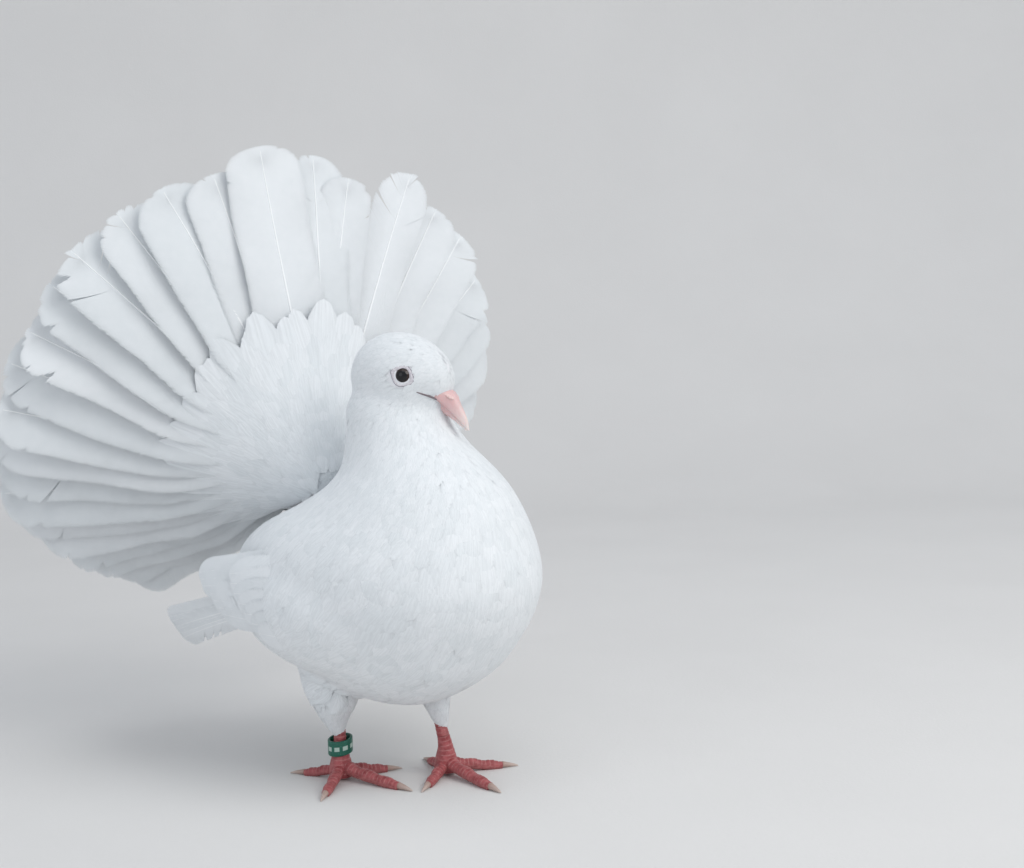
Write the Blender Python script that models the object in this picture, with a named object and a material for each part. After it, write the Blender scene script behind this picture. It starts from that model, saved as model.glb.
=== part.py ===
"""White fantail pigeon, life size, standing on its own two feet: a still display model.

Metres, +Z up. The floor is z = 0 under the toes, the bird faces -Y and its right side is -X.
"""

import math
import random

import bmesh
import bpy
import numpy as np
from mathutils import Vector

MM = 0.001
GAP = 0.3 * MM

# Flesh with its coat, as level sections: height, half width, half length, centre along Y, all in mm.
BODY_SECTIONS = (
    (33.0, 3.0, 4.5, -5.0),
    (34.5, 9.0, 13.0, -5.0),
    (38.0, 18.0, 24.0, -5.0),
    (43.0, 27.0, 35.0, -4.5),
    (50.0, 36.0, 47.0, -3.0),
    (60.0, 45.0, 60.0, 1.5),
    (73.0, 51.5, 69.5, 3.0),
    (86.0, 53.5, 72.0, 2.0),
    (97.0, 52.0, 68.5, 0.0),
    (106.0, 47.5, 61.0, -5.0),
    (114.0, 41.5, 50.5, -12.5),
    (123.0, 35.0, 39.5, -18.0),
    (131.0, 29.5, 33.0, -17.0),
    (139.0, 25.0, 27.5, -13.0),
    (147.0, 20.8, 22.5, -10.0),
    (155.0, 16.5, 18.5, -8.5),
    (161.0, 12.0, 13.0, -9.0),
)
RING_POINTS = 28
BODY_LEVEL_STEP = 4.2
BODY_FOOT_Z = BODY_SECTIONS[0][0] * MM
NECK_FOOT_Z = 120.0 * MM
HEAD_FOOT_Z = 149.0 * MM
ROOM_TOP_Z = 160.0 * MM

# Head
HEAD_CENTRE = Vector((0.0, -11.0, 166.0)) * MM
HEAD_TURN = math.radians(17.0)  # to the bird's own left
HEAD_NOD = math.radians(14.0)
HEAD_HALF_LENGTH = 22.3 * MM
HEAD_HALF_WIDTH = 15.4 * MM
HEAD_HALF_HEIGHT = 18.3 * MM
EYE_FORWARD = 7.6 * MM
EYE_RISE = 2.2 * MM
EYE_SIDE = 11.6 * MM
EYE_RADIUS = 3.9 * MM
LID_RADIUS = 3.55 * MM
LID_THICKNESS = 0.75 * MM

# Bill, in the head's level plane: forward and up from the head's centre, in mm, root to tip.
CULMEN = ((15.0, -2.8), (20.4, -4.4), (24.6, -6.6), (27.4, -11.0), (29.3, -16.0), (30.2, -20.6))
MOUTH = ((12.0, -7.4), (17.0, -10.0), (21.0, -12.2), (24.6, -14.8), (27.2, -17.6), (29.4, -20.2))
KEEL = ((12.0, -10.4), (16.5, -12.4), (20.2, -14.4), (23.6, -16.5), (26.2, -18.6), (28.3, -20.4))
BILL_HALF_WIDTHS = (4.2, 3.8, 3.1, 2.3, 1.45, 0.45)
BILL_RING_POINTS = 16
LOWER_BILL_SHARE = 0.86
LID_FORWARD = 0.22
LID_OUT = 0.62
THROAT_FOOT_Z = 140.0 * MM
THROAT_OVERLAP = 2.0 * MM
# Swellings and slits of the nostrils: half sizes, middle in the head's own axes and droop, in mm.
CERE_HALF = (2.9, 1.5, 1.5)
CERE_PLACE = (22.6, 1.9, -6.6)
CERE_DROOP = 0.5
NOSTRIL_HALF = (1.6, 1.0, 0.45)
NOSTRIL_PLACE = (24.6, 2.9, -9.6)
NOSTRIL_DROOP = 0.6

# Tail fan: a shallow dish of vanes round one root
FAN_ROOT = Vector((0.0, 39.0, 124.0)) * MM
FAN_YAW = math.radians(-14.0)
FAN_LEAN = math.radians(-5.0)
FAN_SWEEP_TOP = math.radians(11.0)
FAN_SWEEP_RANGE = math.radians(45.0)
FAN_RADIUS = 139.5 * MM
FAN_HALF_SPREAD = math.radians(127.0)
FAN_VANES = 26
FAN_PARTING = math.radians(17.0)
FAN_PARTING_WIDTH = math.radians(5.0)
FAN_TILT = math.radians(6.5)
FAN_HALF_WIDTH = 17.5 * MM
FAN_WAVE = 3.0 * MM
VANE_THICKNESS = 0.6 * MM
VANE_DOME = 0.7 * MM
VANE_STATIONS = (0.12, 0.36, 0.58, 0.76, 0.88, 0.96, 1.0)
VANE_COLUMNS = 3
COVERT_STATIONS = (0.2, 0.5, 0.78, 0.93, 1.0)
COVERT_COLUMNS = 2
# Covert tiers in front of the fan: count, length, half width, half spread in degrees, lift forward.
COVERT_TIERS = ((11, 70.0, 14.5, 98.0, 4.8), (7, 52.0, 14.5, 78.0, 8.0))
FAN_PARTING_REACH = math.radians(60.0)
FAN_LENGTHS = (0.965, 1.02)
FAN_SIDE_SHARE = 0.965
FAN_TOP_GAIN = 0.055
FAN_LIFT = -0.5 * MM
FAN_WIDTHS = (0.93, 1.04)
COVERT_LENGTHS = (0.95, 1.04)
# A feather's outline: narrow to here, widest from there, rounding off to its tip.
VANE_OUTLINE = (0.16, 0.22, 0.66, 0.80)
WING_VANE_OUTLINE = (0.3, 0.22, 0.55, 0.8)
TIP_ROUNDNESS = 0.93

TAIL_CORE_TALL = (40.0 * MM, 33.0 * MM)
TAIL_CORE_THICK = (13.0 * MM, 15.0 * MM)
TAIL_CORE_HALF = 36.0 * MM
TAIL_CORE_BACK = 1.0 * MM

# Wing: its outer face is one smooth sheet beside the body
WING_BULGE = 59.0 * MM
WING_BULGE_Y = 20.0 * MM
WING_MIDDLE_Z = 79.0 * MM
WING_FALL_FRONT = 12.2
WING_FALL_BACK = 2.9
WING_FALL_Z = 14.0
WING_CORE_CENTRE = (-6.0 * MM, 76.0 * MM)
WING_CORE_HALF = (42.0 * MM, 28.0 * MM)
WING_CORE_DEPTH = 11.0 * MM
# Tiers: count, root (y, z) low and high, tip (y, z) low and high, half width, lift, all in mm.
WING_TIERS = (
    ("primary", 6, (4, 72), (4, 78), (70, 54), (73, 62), 6.8, -1.8),
    ("secondary", 6, (-12, 58), (-4, 92), (32, 62), (55, 88), 7.0, 0.0),
    ("greater", 6, (-24, 58), (-16, 93), (16, 57), (36, 94), 7.4, 1.7),
    ("median", 5, (-34, 62), (-28, 92), (0, 55), (8, 94), 8.2, 3.4),
)
WING_VANE_STATIONS = (0.0, 0.3, 0.6, 0.84, 0.95, 1.0)
WING_VANE_COLUMNS = 3
WING_VANE_TILT = math.radians(6.0)
WING_VANE_SUNK = -3.0 * MM
WING_VANE_EMERGED = 0.35
WING_TIP_SCATTER = 1.0

# Legs
RIGHT_FOOT = Vector((-18.3, 13.7, 0.0)) * MM
LEFT_FOOT = Vector((13.7, -16.1, 0.0)) * MM
TOE_IN = math.radians(9.0)
ANKLE_Z = 9.4 * MM
SHANK_TOP_Z = {"right": 20.0 * MM, "left": 24.0 * MM}
SHANK_RADIUS = 2.6 * MM
HUB_RADII = (4.2 * MM, 4.4 * MM, 3.9 * MM, 1.12 * SHANK_RADIUS)
HUB_SHARES = (0.13, 0.4, 0.7, 1.0)
# Thigh from inside the body down: height, half width, half length, set back, in mm.
THIGH_SECTIONS = (
    (70.0, 13.0, 16.0, 6.0),
    (56.0, 13.5, 16.0, 5.0),
    (44.0, 12.0, 13.5, 3.5),
    (36.0, 9.8, 10.6, 1.8),
    (30.0, 7.0, 7.6, 0.8),
)
THIGH_FOOT_HALF = 3.9
THIGH_ROOM_TOP_Z = 110.0 * MM
THIGH_POINTS = 20
# Toes: angle from the middle toe, length to the claw's root, root radius, all seen on the left foot.
TOES = {
    "middle": (0.0, 30.0, 2.7),
    "outer": (66.0, 24.0, 2.4),
    "inner": (-58.0, 20.0, 2.4),
    "hind": (168.0, 17.0, 2.2),
}
KNUCKLES = (1.0, 0.98, 0.86, 0.94, 0.78, 0.82, 0.62)
CLAW_LENGTH = 7.0 * MM
TOE_DROP = 3.8 * MM
TOE_ARCH = 0.35 * MM
TOE_FLATTEN = 0.92
SOLE = 0.4 * MM
CLAW_CLEARANCE = 0.15 * MM
RING_CENTRE_Z = 14.2 * MM
RING_OUTER_RADIUS = 5.2 * MM
RING_INNER_RADIUS = 4.3 * MM
RING_HEIGHT = 6.2 * MM
RING_TILT = math.radians(9.0)

COLOURS = {
    "plumage": ((0.86, 0.87, 0.90, 1.0), 0.85),
    "vane": ((0.82, 0.84, 0.88, 1.0), 0.70),
    "bill": ((0.80, 0.47, 0.42, 1.0), 0.50),
    "eye": ((0.02, 0.015, 0.015, 1.0), 0.08),
    "leg": ((0.55, 0.16, 0.13, 1.0), 0.60),
    "claw": ((0.60, 0.50, 0.45, 1.0), 0.45),
    "ring": ((0.02, 0.26, 0.17, 1.0), 0.35),
}
SIDES = {"right": -1.0, "left": 1.0}


def clear_scene():
    for item in list(bpy.data.objects):
        bpy.data.objects.remove(item, do_unlink=True)


def new_collection(name):
    made = bpy.data.collections.new(name)
    bpy.context.scene.collection.children.link(made)
    return made


def material(name):
    found = bpy.data.materials.get(name)
    if found:
        return found
    colour, roughness = COLOURS[name]
    made = bpy.data.materials.new(name)
    made.use_nodes = True
    shader = made.node_tree.nodes["Principled BSDF"]
    shader.inputs["Base Color"].default_value = colour
    shader.inputs["Roughness"].default_value = roughness
    shader.inputs["Metallic"].default_value = 0.0
    made.diffuse_color = colour
    return made


def add_object(name, mesh, material_name, collection):
    item = bpy.data.objects.new(name, mesh)
    mesh.materials.clear()
    mesh.materials.append(material(material_name))
    collection.objects.link(item)
    return item


def finish_mesh(name, shape):
    """Turns a bmesh into a mesh whose faces point out."""
    shape.normal_update()
    bmesh.ops.recalc_face_normals(shape, faces=shape.faces)
    mesh = bpy.data.meshes.new(name)
    shape.to_mesh(mesh)
    shape.free()
    return mesh


def mesh_from(name, points, faces):
    shape = bmesh.new()
    verts = [shape.verts.new(point) for point in points]
    for face in faces:
        shape.faces.new([verts[index] for index in face])
    return finish_mesh(name, shape)


def loft(name, rings):
    """A closed mesh of triangles through rings of equal count, each end a fan about its middle."""
    count = len(rings[0])
    points = [point for ring in rings for point in ring]
    points += [[sum(axis) / count for axis in zip(*ring)] for ring in (rings[0], rings[-1])]
    faces = []
    for level in range(len(rings) - 1):
        for index in range(count):
            following = (index + 1) % count
            near, far = level * count, (level + 1) * count
            faces.append((near + index, near + following, far + following))
            faces.append((near + index, far + following, far + index))
    last = (len(rings) - 1) * count
    for index in range(count):
        following = (index + 1) % count
        faces.append((following, index, len(points) - 2))
        faces.append((last + index, last + following, len(points) - 1))
    return mesh_from(name, points, faces)


def keep_largest(mesh):
    """Drops every closed surface of the mesh but the one with the most volume."""
    shape = bmesh.new()
    shape.from_mesh(mesh)
    shape.verts.ensure_lookup_table()
    seen = set()
    islands = []
    for start in shape.verts:
        if start.index in seen:
            continue
        seen.add(start.index)
        island = [start]
        for vert in island:
            for edge in vert.link_edges:
                other = edge.other_vert(vert)
                if other.index not in seen:
                    seen.add(other.index)
                    island.append(other)
        islands.append(island)

    def span(island):
        corners = np.array([vert.co[:] for vert in island])
        return float(np.prod(np.ptp(corners, axis=0) + MM))

    islands.sort(key=span)
    for island in islands[:-1]:
        bmesh.ops.delete(shape, geom=island, context="VERTS")
    shape.to_mesh(mesh)
    shape.free()
    return mesh


def combine(target, others, operation, solver):
    """Applies one Boolean of a whole collection to the target, then removes the others."""
    helpers = new_collection("cutters")
    for other in others:
        for owner in list(other.users_collection):
            owner.objects.unlink(other)
        helpers.objects.link(other)
        other.hide_render = True
        other.display_type = "WIRE"
    change = target.modifiers.new(operation.lower(), "BOOLEAN")
    change.operation = operation
    change.solver = solver
    change.operand_type = "COLLECTION"
    change.collection = helpers
    bpy.context.view_layer.update()
    graph = bpy.context.evaluated_depsgraph_get()
    result = bpy.data.meshes.new_from_object(target.evaluated_get(graph))
    target.modifiers.clear()
    target.data = keep_largest(result)
    for other in others:
        bpy.data.objects.remove(other, do_unlink=True)
    bpy.data.collections.remove(helpers)
    return target


def unite(target, others, solver="MANIFOLD"):
    return combine(target, others, "UNION", solver)


def carve(target, others, solver="EXACT"):
    return combine(target, others, "DIFFERENCE", solver)


def shade(item, angle=40.0):
    item.data.shade_smooth()
    item.data.set_sharp_from_angle(angle=math.radians(angle))


def spline(stations, place):
    """Values of a smooth curve through stations (key, values...) at the given keys."""
    table = np.array(stations, dtype=float)
    keys, values = table[:, 0], table[:, 1:]
    slopes = np.gradient(values, keys, axis=0)
    cell = np.clip(np.searchsorted(keys, place) - 1, 0, len(keys) - 2)
    width = (keys[cell + 1] - keys[cell])[:, None]
    t = ((place - keys[cell]) / width[:, 0])[:, None]
    start, end = values[cell], values[cell + 1]
    rise, fall = slopes[cell] * width, slopes[cell + 1] * width
    return (
        start * (2 * t**3 - 3 * t**2 + 1)
        + rise * (t**3 - 2 * t**2 + t)
        + end * (3 * t**2 - 2 * t**3)
        + fall * (t**3 - t**2)
    )


def body_rings(low, high, grow=0.0):
    """Level rings of the body and neck between two heights, grown outward by a clearance.

    Every solid cut from the body shares its levels, so that their faces run side by side.
    """
    low, high = low / MM, high / MM
    shared = np.arange(BODY_SECTIONS[0][0], BODY_SECTIONS[-1][0], BODY_LEVEL_STEP)
    inside = shared[(shared > low + 0.5) & (shared < high - 0.5)]
    heights = np.concatenate(([low], inside, [high]))
    sizes = spline(BODY_SECTIONS, heights)
    rings = []
    for height, (half_width, half_length, centre) in zip(heights, sizes):
        ring = []
        for step in range(RING_POINTS):
            turn = 2 * math.pi * step / RING_POINTS
            x = (half_width * MM + grow) * math.cos(turn)
            y = centre * MM + (half_length * MM + grow) * math.sin(turn)
            ring.append((x, y, height * MM))
        rings.append(ring)
    return rings


def body_solid(name, low, high, grow=0.0):
    return loft(name, body_rings(low, high, grow))


def head_axes():
    forward = Vector((math.sin(HEAD_TURN), -math.cos(HEAD_TURN), 0.0))
    side = Vector((math.cos(HEAD_TURN), math.sin(HEAD_TURN), 0.0))
    return forward, side, Vector((0.0, 0.0, 1.0))


def head_point(forward, side, rise):
    along, across, up = head_axes()
    return HEAD_CENTRE + along * forward + across * side + up * rise


def head_mesh(name, grow=0.0, segments=26, rings=15):
    """The skull with its feathers: an egg, fuller at the brow and cheeks, nodding forward."""
    shape = bmesh.new()
    bmesh.ops.create_uvsphere(shape, u_segments=segments, v_segments=rings, radius=1.0)
    for vert in shape.verts:
        forward, side, rise = -vert.co.y, vert.co.x, vert.co.z
        brow = 1.0 + 0.07 * max(0.0, forward) * max(0.0, rise)
        cheek = 1.0 + 0.05 * max(0.0, -rise)
        x = side * (HEAD_HALF_WIDTH * cheek + grow)
        along = forward * (HEAD_HALF_LENGTH * brow + grow)
        up = rise * (HEAD_HALF_HEIGHT + grow)
        turned = along * math.cos(HEAD_NOD) + up * math.sin(HEAD_NOD)
        lifted = up * math.cos(HEAD_NOD) - along * math.sin(HEAD_NOD)
        vert.co = head_point(turned, x, lifted)
    return finish_mesh(name, shape)


def sphere_mesh(name, centre, radius, segments=16, rings=10):
    shape = bmesh.new()
    bmesh.ops.create_uvsphere(shape, u_segments=segments, v_segments=rings, radius=radius)
    bmesh.ops.translate(shape, verts=shape.verts, vec=centre)
    return finish_mesh(name, shape)


def tube_mesh(name, path, radii, sides=10, flatten=1.0):
    """A closed tube along a path of points, with its own radius at each point."""
    rings = []
    for index, point in enumerate(path):
        before = path[max(index - 1, 0)]
        after = path[min(index + 1, len(path) - 1)]
        along = (Vector(after) - Vector(before)).normalized()
        across = along.cross(Vector((0.0, 0.0, 1.0)))
        if across.length < 0.2:
            across = along.cross(Vector((0.0, 1.0, 0.0)))
        across.normalize()
        up = across.cross(along).normalized()
        ring = []
        for step in range(sides):
            turn = 2 * math.pi * (step + 0.5) / sides
            offset = across * math.cos(turn) + up * math.sin(turn) * flatten
            ring.append(Vector(point) + offset * radii[index])
        rings.append(ring)
    return loft(name, rings)


def torus_mesh(name, centre, normal, radius, thickness, squash=0.8):
    """A closed ring of round section about an axis, lower than it is wide."""
    axis = Vector(normal).normalized()
    across = axis.cross(Vector((0.0, 0.0, 1.0))).normalized()
    up = across.cross(axis).normalized()
    around, sides = 18, 6
    points, faces = [], []
    for step in range(around):
        turn = 2 * math.pi * step / around
        spoke = across * math.cos(turn) + up * math.sin(turn) * squash
        for part in range(sides):
            bend = 2 * math.pi * part / sides
            out = spoke * (radius + thickness * math.cos(bend))
            points.append(Vector(centre) + out + axis * (thickness * math.sin(bend)))
    for step in range(around):
        for part in range(sides):
            here, there = step * sides, ((step + 1) % around) * sides
            following = (part + 1) % sides
            faces.append((here + part, here + following, there + following, there + part))
    return mesh_from(name, points, faces)


def sheet_solid(name, place, rows, columns, thickness):
    """A thin closed plate: place(row, column, lift) gives its points, both faces cut alike."""
    half = thickness / 2
    points = [place(i, j, side) for side in (half, -half) for i in range(rows) for j in range(columns)]
    back = rows * columns

    def at(i, j):
        return i * columns + j

    faces = []
    for i in range(rows - 1):
        for j in range(columns - 1):
            corners = (at(i, j), at(i, j + 1), at(i + 1, j + 1), at(i + 1, j))
            for face in ((corners[0], corners[1], corners[2]), (corners[0], corners[2], corners[3])):
                faces.append(face)
                faces.append(tuple(index + back for index in reversed(face)))
    rim = [at(0, j) for j in range(columns)]
    rim += [at(i, columns - 1) for i in range(1, rows)]
    rim += [at(rows - 1, j) for j in range(columns - 2, -1, -1)]
    rim += [at(i, 0) for i in range(rows - 2, 0, -1)]
    for here, there in zip(rim, rim[1:] + rim[:1]):
        faces.append((there, here, here + back, there + back))
    return mesh_from(name, points, faces)


def vane_width(share, outline=VANE_OUTLINE):
    """Half width of a feather along its length, as a share of the widest."""
    root, narrow, full, tip = outline
    if share >= tip:
        return math.sqrt(1.0 - ((share - tip) / (1.0 - tip)) ** 2 * TIP_ROUNDNESS)
    if share >= full:
        return 1.0
    rise = max(0.0, (share - narrow) / (full - narrow))
    return root + (1.0 - root) * (rise * rise * (3 - 2 * rise))


def fan_axes(angle):
    """Outward direction, sideways direction and back normal of the dish at an angle from its top."""
    turn = math.cos(FAN_YAW), math.sin(FAN_YAW)
    up = Vector((0.0, math.sin(FAN_LEAN), math.cos(FAN_LEAN)))
    back = Vector((0.0, math.cos(FAN_LEAN), -math.sin(FAN_LEAN)))
    wide = Vector((1.0, 0.0, 0.0))
    sweep = FAN_SWEEP_TOP + FAN_SWEEP_RANGE * (1 - math.cos(angle)) / 2
    flat = up * math.cos(angle) + wide * math.sin(angle)
    out = flat * math.cos(sweep) + back * math.sin(sweep)
    normal = back * math.cos(sweep) - flat * math.sin(sweep)
    across = out.cross(normal).normalized()
    if across.dot(wide * math.cos(angle) - up * math.sin(angle)) < 0:
        across = -across

    def yawed(vector):
        x = vector.x * turn[0] - vector.y * turn[1]
        y = vector.x * turn[1] + vector.y * turn[0]
        return Vector((x, y, vector.z))

    return yawed(out), yawed(across), yawed(normal)


def fan_wave(angle, share):
    """One slow ripple that all the vanes share, so that none crosses its neighbour."""
    return FAN_WAVE * share**2 * math.sin(3.1 * angle + 2.2 * share)


def fan_vane(name, angle, length, half_width, lift, stations, columns):
    """One feather of the fan, lying on the dish with its outer edge tilted forward."""
    out, across, normal = fan_axes(angle)
    outward = 1.0 if angle >= 0 else -1.0

    def place(i, j, layer):
        share = stations[i]
        place_across = 2 * j / columns - 1
        side = place_across * vane_width(share) * half_width
        rise = fan_wave(angle, share) + lift - FAN_TILT * side * outward
        dome = -VANE_DOME * (1 - place_across**2)
        return FAN_ROOT + out * (length * share) + across * side + normal * (rise + dome + layer)

    return sheet_solid(name, place, len(stations), columns + 1, VANE_THICKNESS)


def fan_angles():
    """Angles of the tail feathers from low on the right, over the top, to low on the left."""
    angles = []
    for index in range(FAN_VANES):
        angle = -FAN_HALF_SPREAD + 2 * FAN_HALF_SPREAD * index / (FAN_VANES - 1)
        parted = FAN_PARTING_WIDTH / 2 if angle > FAN_PARTING else -FAN_PARTING_WIDTH / 2
        reach = 1.0 - min(1.0, abs(angle - FAN_PARTING) / FAN_PARTING_REACH)
        angles.append(angle + parted * reach)
    return angles


def tail_core():
    """The root of the tail: a thick rounded disc that every feather starts in."""
    out, across, normal = fan_axes(0.0)
    shape = bmesh.new()
    bmesh.ops.create_uvsphere(shape, u_segments=24, v_segments=12, radius=1.0)
    for vert in shape.verts:
        up, wide, back = vert.co.y, vert.co.x, vert.co.z
        tall = TAIL_CORE_TALL[0] if up > 0 else TAIL_CORE_TALL[1]
        thick = TAIL_CORE_THICK[0] if back < 0 else TAIL_CORE_THICK[1]
        level = out * (tall * up) + across * (TAIL_CORE_HALF * wide)
        vert.co = FAN_ROOT + level + normal * (thick * back + TAIL_CORE_BACK)
    return finish_mesh("tail_core", shape)


def build_tail(collection):
    chance = random.Random(11)
    tail = add_object("tail", tail_core(), "vane", collection)
    pieces = []
    for index, angle in enumerate(fan_angles()):
        middle = 1.0 - abs(angle) / FAN_HALF_SPREAD
        length = FAN_RADIUS * (FAN_SIDE_SHARE + FAN_TOP_GAIN * middle) * chance.uniform(*FAN_LENGTHS)
        lift = FAN_LIFT * (1 + math.cos(angle))
        half_width = FAN_HALF_WIDTH * chance.uniform(*FAN_WIDTHS)
        mesh = fan_vane(f"rectrix_{index}", angle, length, half_width, lift, VANE_STATIONS, VANE_COLUMNS)
        pieces.append(add_object(mesh.name, mesh, "vane", collection))
    for tier, (count, length, width, spread, lift) in enumerate(COVERT_TIERS):
        for index in range(count):
            angle = math.radians(spread) * (2 * index / (count - 1) - 1)
            reach = length * MM * chance.uniform(*COVERT_LENGTHS)
            name = f"covert_{tier}_{index}"
            mesh = fan_vane(name, angle, reach, width * MM, -lift * MM, COVERT_STATIONS, COVERT_COLUMNS)
            pieces.append(add_object(mesh.name, mesh, "vane", collection))
    unite(tail, pieces)
    return tail


def wing_sheet(y, z):
    """How far out the wing's face is from the middle of the body at a place on its side."""
    along = (y - WING_BULGE_Y) / (50.0 * MM)
    fall = WING_FALL_FRONT if along < 0 else WING_FALL_BACK
    down = (z - WING_MIDDLE_Z) / (30.0 * MM)
    return WING_BULGE - (fall * along**2 + WING_FALL_Z * down**2) * MM


def wing_core(name, sign):
    """The folded arm under its small feathers: a lens on the body's side."""
    rings = []
    steps, levels = 26, 6
    for level in range(levels):
        share = level / (levels - 1)
        ring = []
        swell = math.cos(share * math.pi / 2) ** 0.5 if share < 1 else 0.12
        for step in range(steps):
            turn = 2 * math.pi * step / steps
            y = WING_CORE_CENTRE[0] + WING_CORE_HALF[0] * swell * math.cos(turn)
            z = WING_CORE_CENTRE[1] + WING_CORE_HALF[1] * swell * math.sin(turn)
            x = wing_sheet(y, z) - WING_CORE_DEPTH * (1 - share)
            ring.append((sign * x, y, z))
        rings.append(ring)
    return loft(name, rings)


def wing_vane(name, sign, start, end, half_width, lift):
    """One wing feather from its root to its tip, given along the side as (y, z)."""
    stations = WING_VANE_STATIONS
    line = Vector((end[0] - start[0], end[1] - start[1]))
    cross = Vector((-line.y, line.x)).normalized()

    def place(i, j, layer):
        share = stations[i]
        side = (2 * j / (WING_VANE_COLUMNS - 1) - 1) * vane_width(share, WING_VANE_OUTLINE) * half_width
        y = start[0] + line.x * share + cross.x * side
        z = start[1] + line.y * share + cross.y * side
        ease = min(1.0, share / WING_VANE_EMERGED)
        eased = WING_VANE_SUNK + (lift - WING_VANE_SUNK) * ease * ease * (3 - 2 * ease)
        rise = eased + WING_VANE_TILT * side
        return Vector((sign * (wing_sheet(y, z) + rise + layer), y, z))

    return sheet_solid(name, place, len(stations), WING_VANE_COLUMNS, VANE_THICKNESS)


def build_wing(name, sign, collection):
    wing = add_object(name, wing_core(name, sign), "vane", collection)
    chance = random.Random(5)
    pieces = []
    for kind, count, low_root, high_root, low_tip, high_tip, half_width, lift in WING_TIERS:
        for index in range(count):
            share = index / (count - 1)
            start = [MM * (a + (b - a) * share) for a, b in zip(low_root, high_root)]
            end = [MM * (a + (b - a) * share) for a, b in zip(low_tip, high_tip)]
            end[0] += chance.uniform(-WING_TIP_SCATTER, WING_TIP_SCATTER) * MM
            mesh = wing_vane(f"{kind}_{index}", sign, start, end, half_width * MM, lift * MM)
            pieces.append(add_object(mesh.name, mesh, "vane", collection))
    unite(wing, pieces)
    room = body_solid("wing_room", BODY_FOOT_Z, ROOM_TOP_Z, GAP)
    carve(wing, [add_object("wing_room", room, "plumage", collection)])
    return wing


def bill_mesh(name, upper):
    """Upper or lower half of the bill, lofted root to tip, flat at the mouth line."""
    rings = []
    sign = 1.0 if upper else -1.0
    outer = CULMEN if upper else KEEL
    for far, mouth, half_width in zip(outer, MOUTH, BILL_HALF_WIDTHS):
        width = (half_width if upper else half_width * LOWER_BILL_SHARE) * MM
        edge_rise = mouth[1] * MM + sign * GAP / 2
        ring = []
        for step in range(BILL_RING_POINTS):
            turn = 2 * math.pi * step / BILL_RING_POINTS
            lift = max(0.0, math.sin(turn))
            forward = (mouth[0] + (far[0] - mouth[0]) * lift) * MM
            rise = edge_rise + (far[1] * MM - edge_rise) * lift
            ring.append(head_point(forward, width * math.cos(turn), rise))
        rings.append(ring)
    return loft(name, rings)


def eye_place(sign):
    return head_point(EYE_FORWARD, sign * EYE_SIDE, EYE_RISE)


def build_head(collection):
    head = add_object("head", head_mesh("head"), "plumage", collection)
    neck_top = body_solid("throat", THROAT_FOOT_Z, ROOM_TOP_Z)
    neck_top = add_object("throat", neck_top, "plumage", collection)
    lids = []
    for side, sign in SIDES.items():
        along, across, up = head_axes()
        outward = (across * sign + along * LID_FORWARD).normalized()
        centre = eye_place(sign) + outward * (EYE_RADIUS * LID_OUT)
        mesh = torus_mesh(f"lid_{side}", centre, outward, LID_RADIUS, LID_THICKNESS)
        lids.append(add_object(mesh.name, mesh, "plumage", collection))
    unite(head, [neck_top] + lids)
    cutters = []
    for side, sign in SIDES.items():
        mesh = sphere_mesh(f"socket_{side}", eye_place(sign), EYE_RADIUS + GAP)
        cutters.append(add_object(mesh.name, mesh, "plumage", collection))
        eye = sphere_mesh(f"eye_{side}", eye_place(sign), EYE_RADIUS)
        shade(add_object(eye.name, eye, "eye", collection))
    below = slab("below_head", -0.1, HEAD_FOOT_Z + GAP / 2)
    cutters.append(add_object(below.name, below, "plumage", collection))
    for cutter in cutters:
        carve(head, [cutter])
    for part, upper in (("bill_upper", True), ("bill_lower", False)):
        bill = add_object(part, bill_mesh(part, upper), "bill", collection)
        if upper:
            add_cere(bill, collection)
        face = add_object("face", head_mesh("face", GAP), "plumage", collection)
        throat = body_solid("throat", THROAT_FOOT_Z - THROAT_OVERLAP, ROOM_TOP_Z, GAP)
        carve(bill, [face])
        carve(bill, [add_object("throat", throat, "plumage", collection)])
        shade(bill)
    return head


def bill_lump(name, sign, half, place, droop, segments, rings):
    """A swelling in the head's own axes, drooping towards the tip of the bill."""
    mesh = sphere_mesh(name, (0, 0, 0), 1.0, segments, rings)
    for vert in mesh.vertices:
        along, across, up = (vert.co[i] * half[i] for i in range(3))
        rise = place[2] + up - along * droop
        vert.co = head_point((place[0] + along) * MM, (sign * place[1] + across) * MM, rise * MM)
    return mesh


def add_cere(bill, collection):
    """The two soft swellings over the nostrils, with a slit under each."""
    swellings, slits = [], []
    for side, sign in SIDES.items():
        mesh = bill_lump(f"cere_{side}", sign, CERE_HALF, CERE_PLACE, CERE_DROOP, 14, 8)
        swellings.append(add_object(mesh.name, mesh, "bill", collection))
        mesh = bill_lump(f"nostril_{side}", sign, NOSTRIL_HALF, NOSTRIL_PLACE, NOSTRIL_DROOP, 12, 6)
        slits.append(add_object(mesh.name, mesh, "bill", collection))
    unite(bill, swellings)
    for slit in slits:
        carve(bill, [slit])


def slab(name, low, high, half=0.4):
    shape = bmesh.new()
    bmesh.ops.create_cube(shape, size=1.0)
    for vert in shape.verts:
        vert.co.x *= 2 * half
        vert.co.y *= 2 * half
        vert.co.z = low if vert.co.z < 0 else high
    return finish_mesh(name, shape)


def build_body(collection):
    torso = body_solid("torso", BODY_FOOT_Z, NECK_FOOT_Z - GAP / 2)
    shade(add_object("torso", torso, "plumage", collection))
    neck = body_solid("neck", NECK_FOOT_Z + GAP / 2, HEAD_FOOT_Z - GAP / 2)
    shade(add_object("neck", neck, "plumage", collection))


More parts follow.
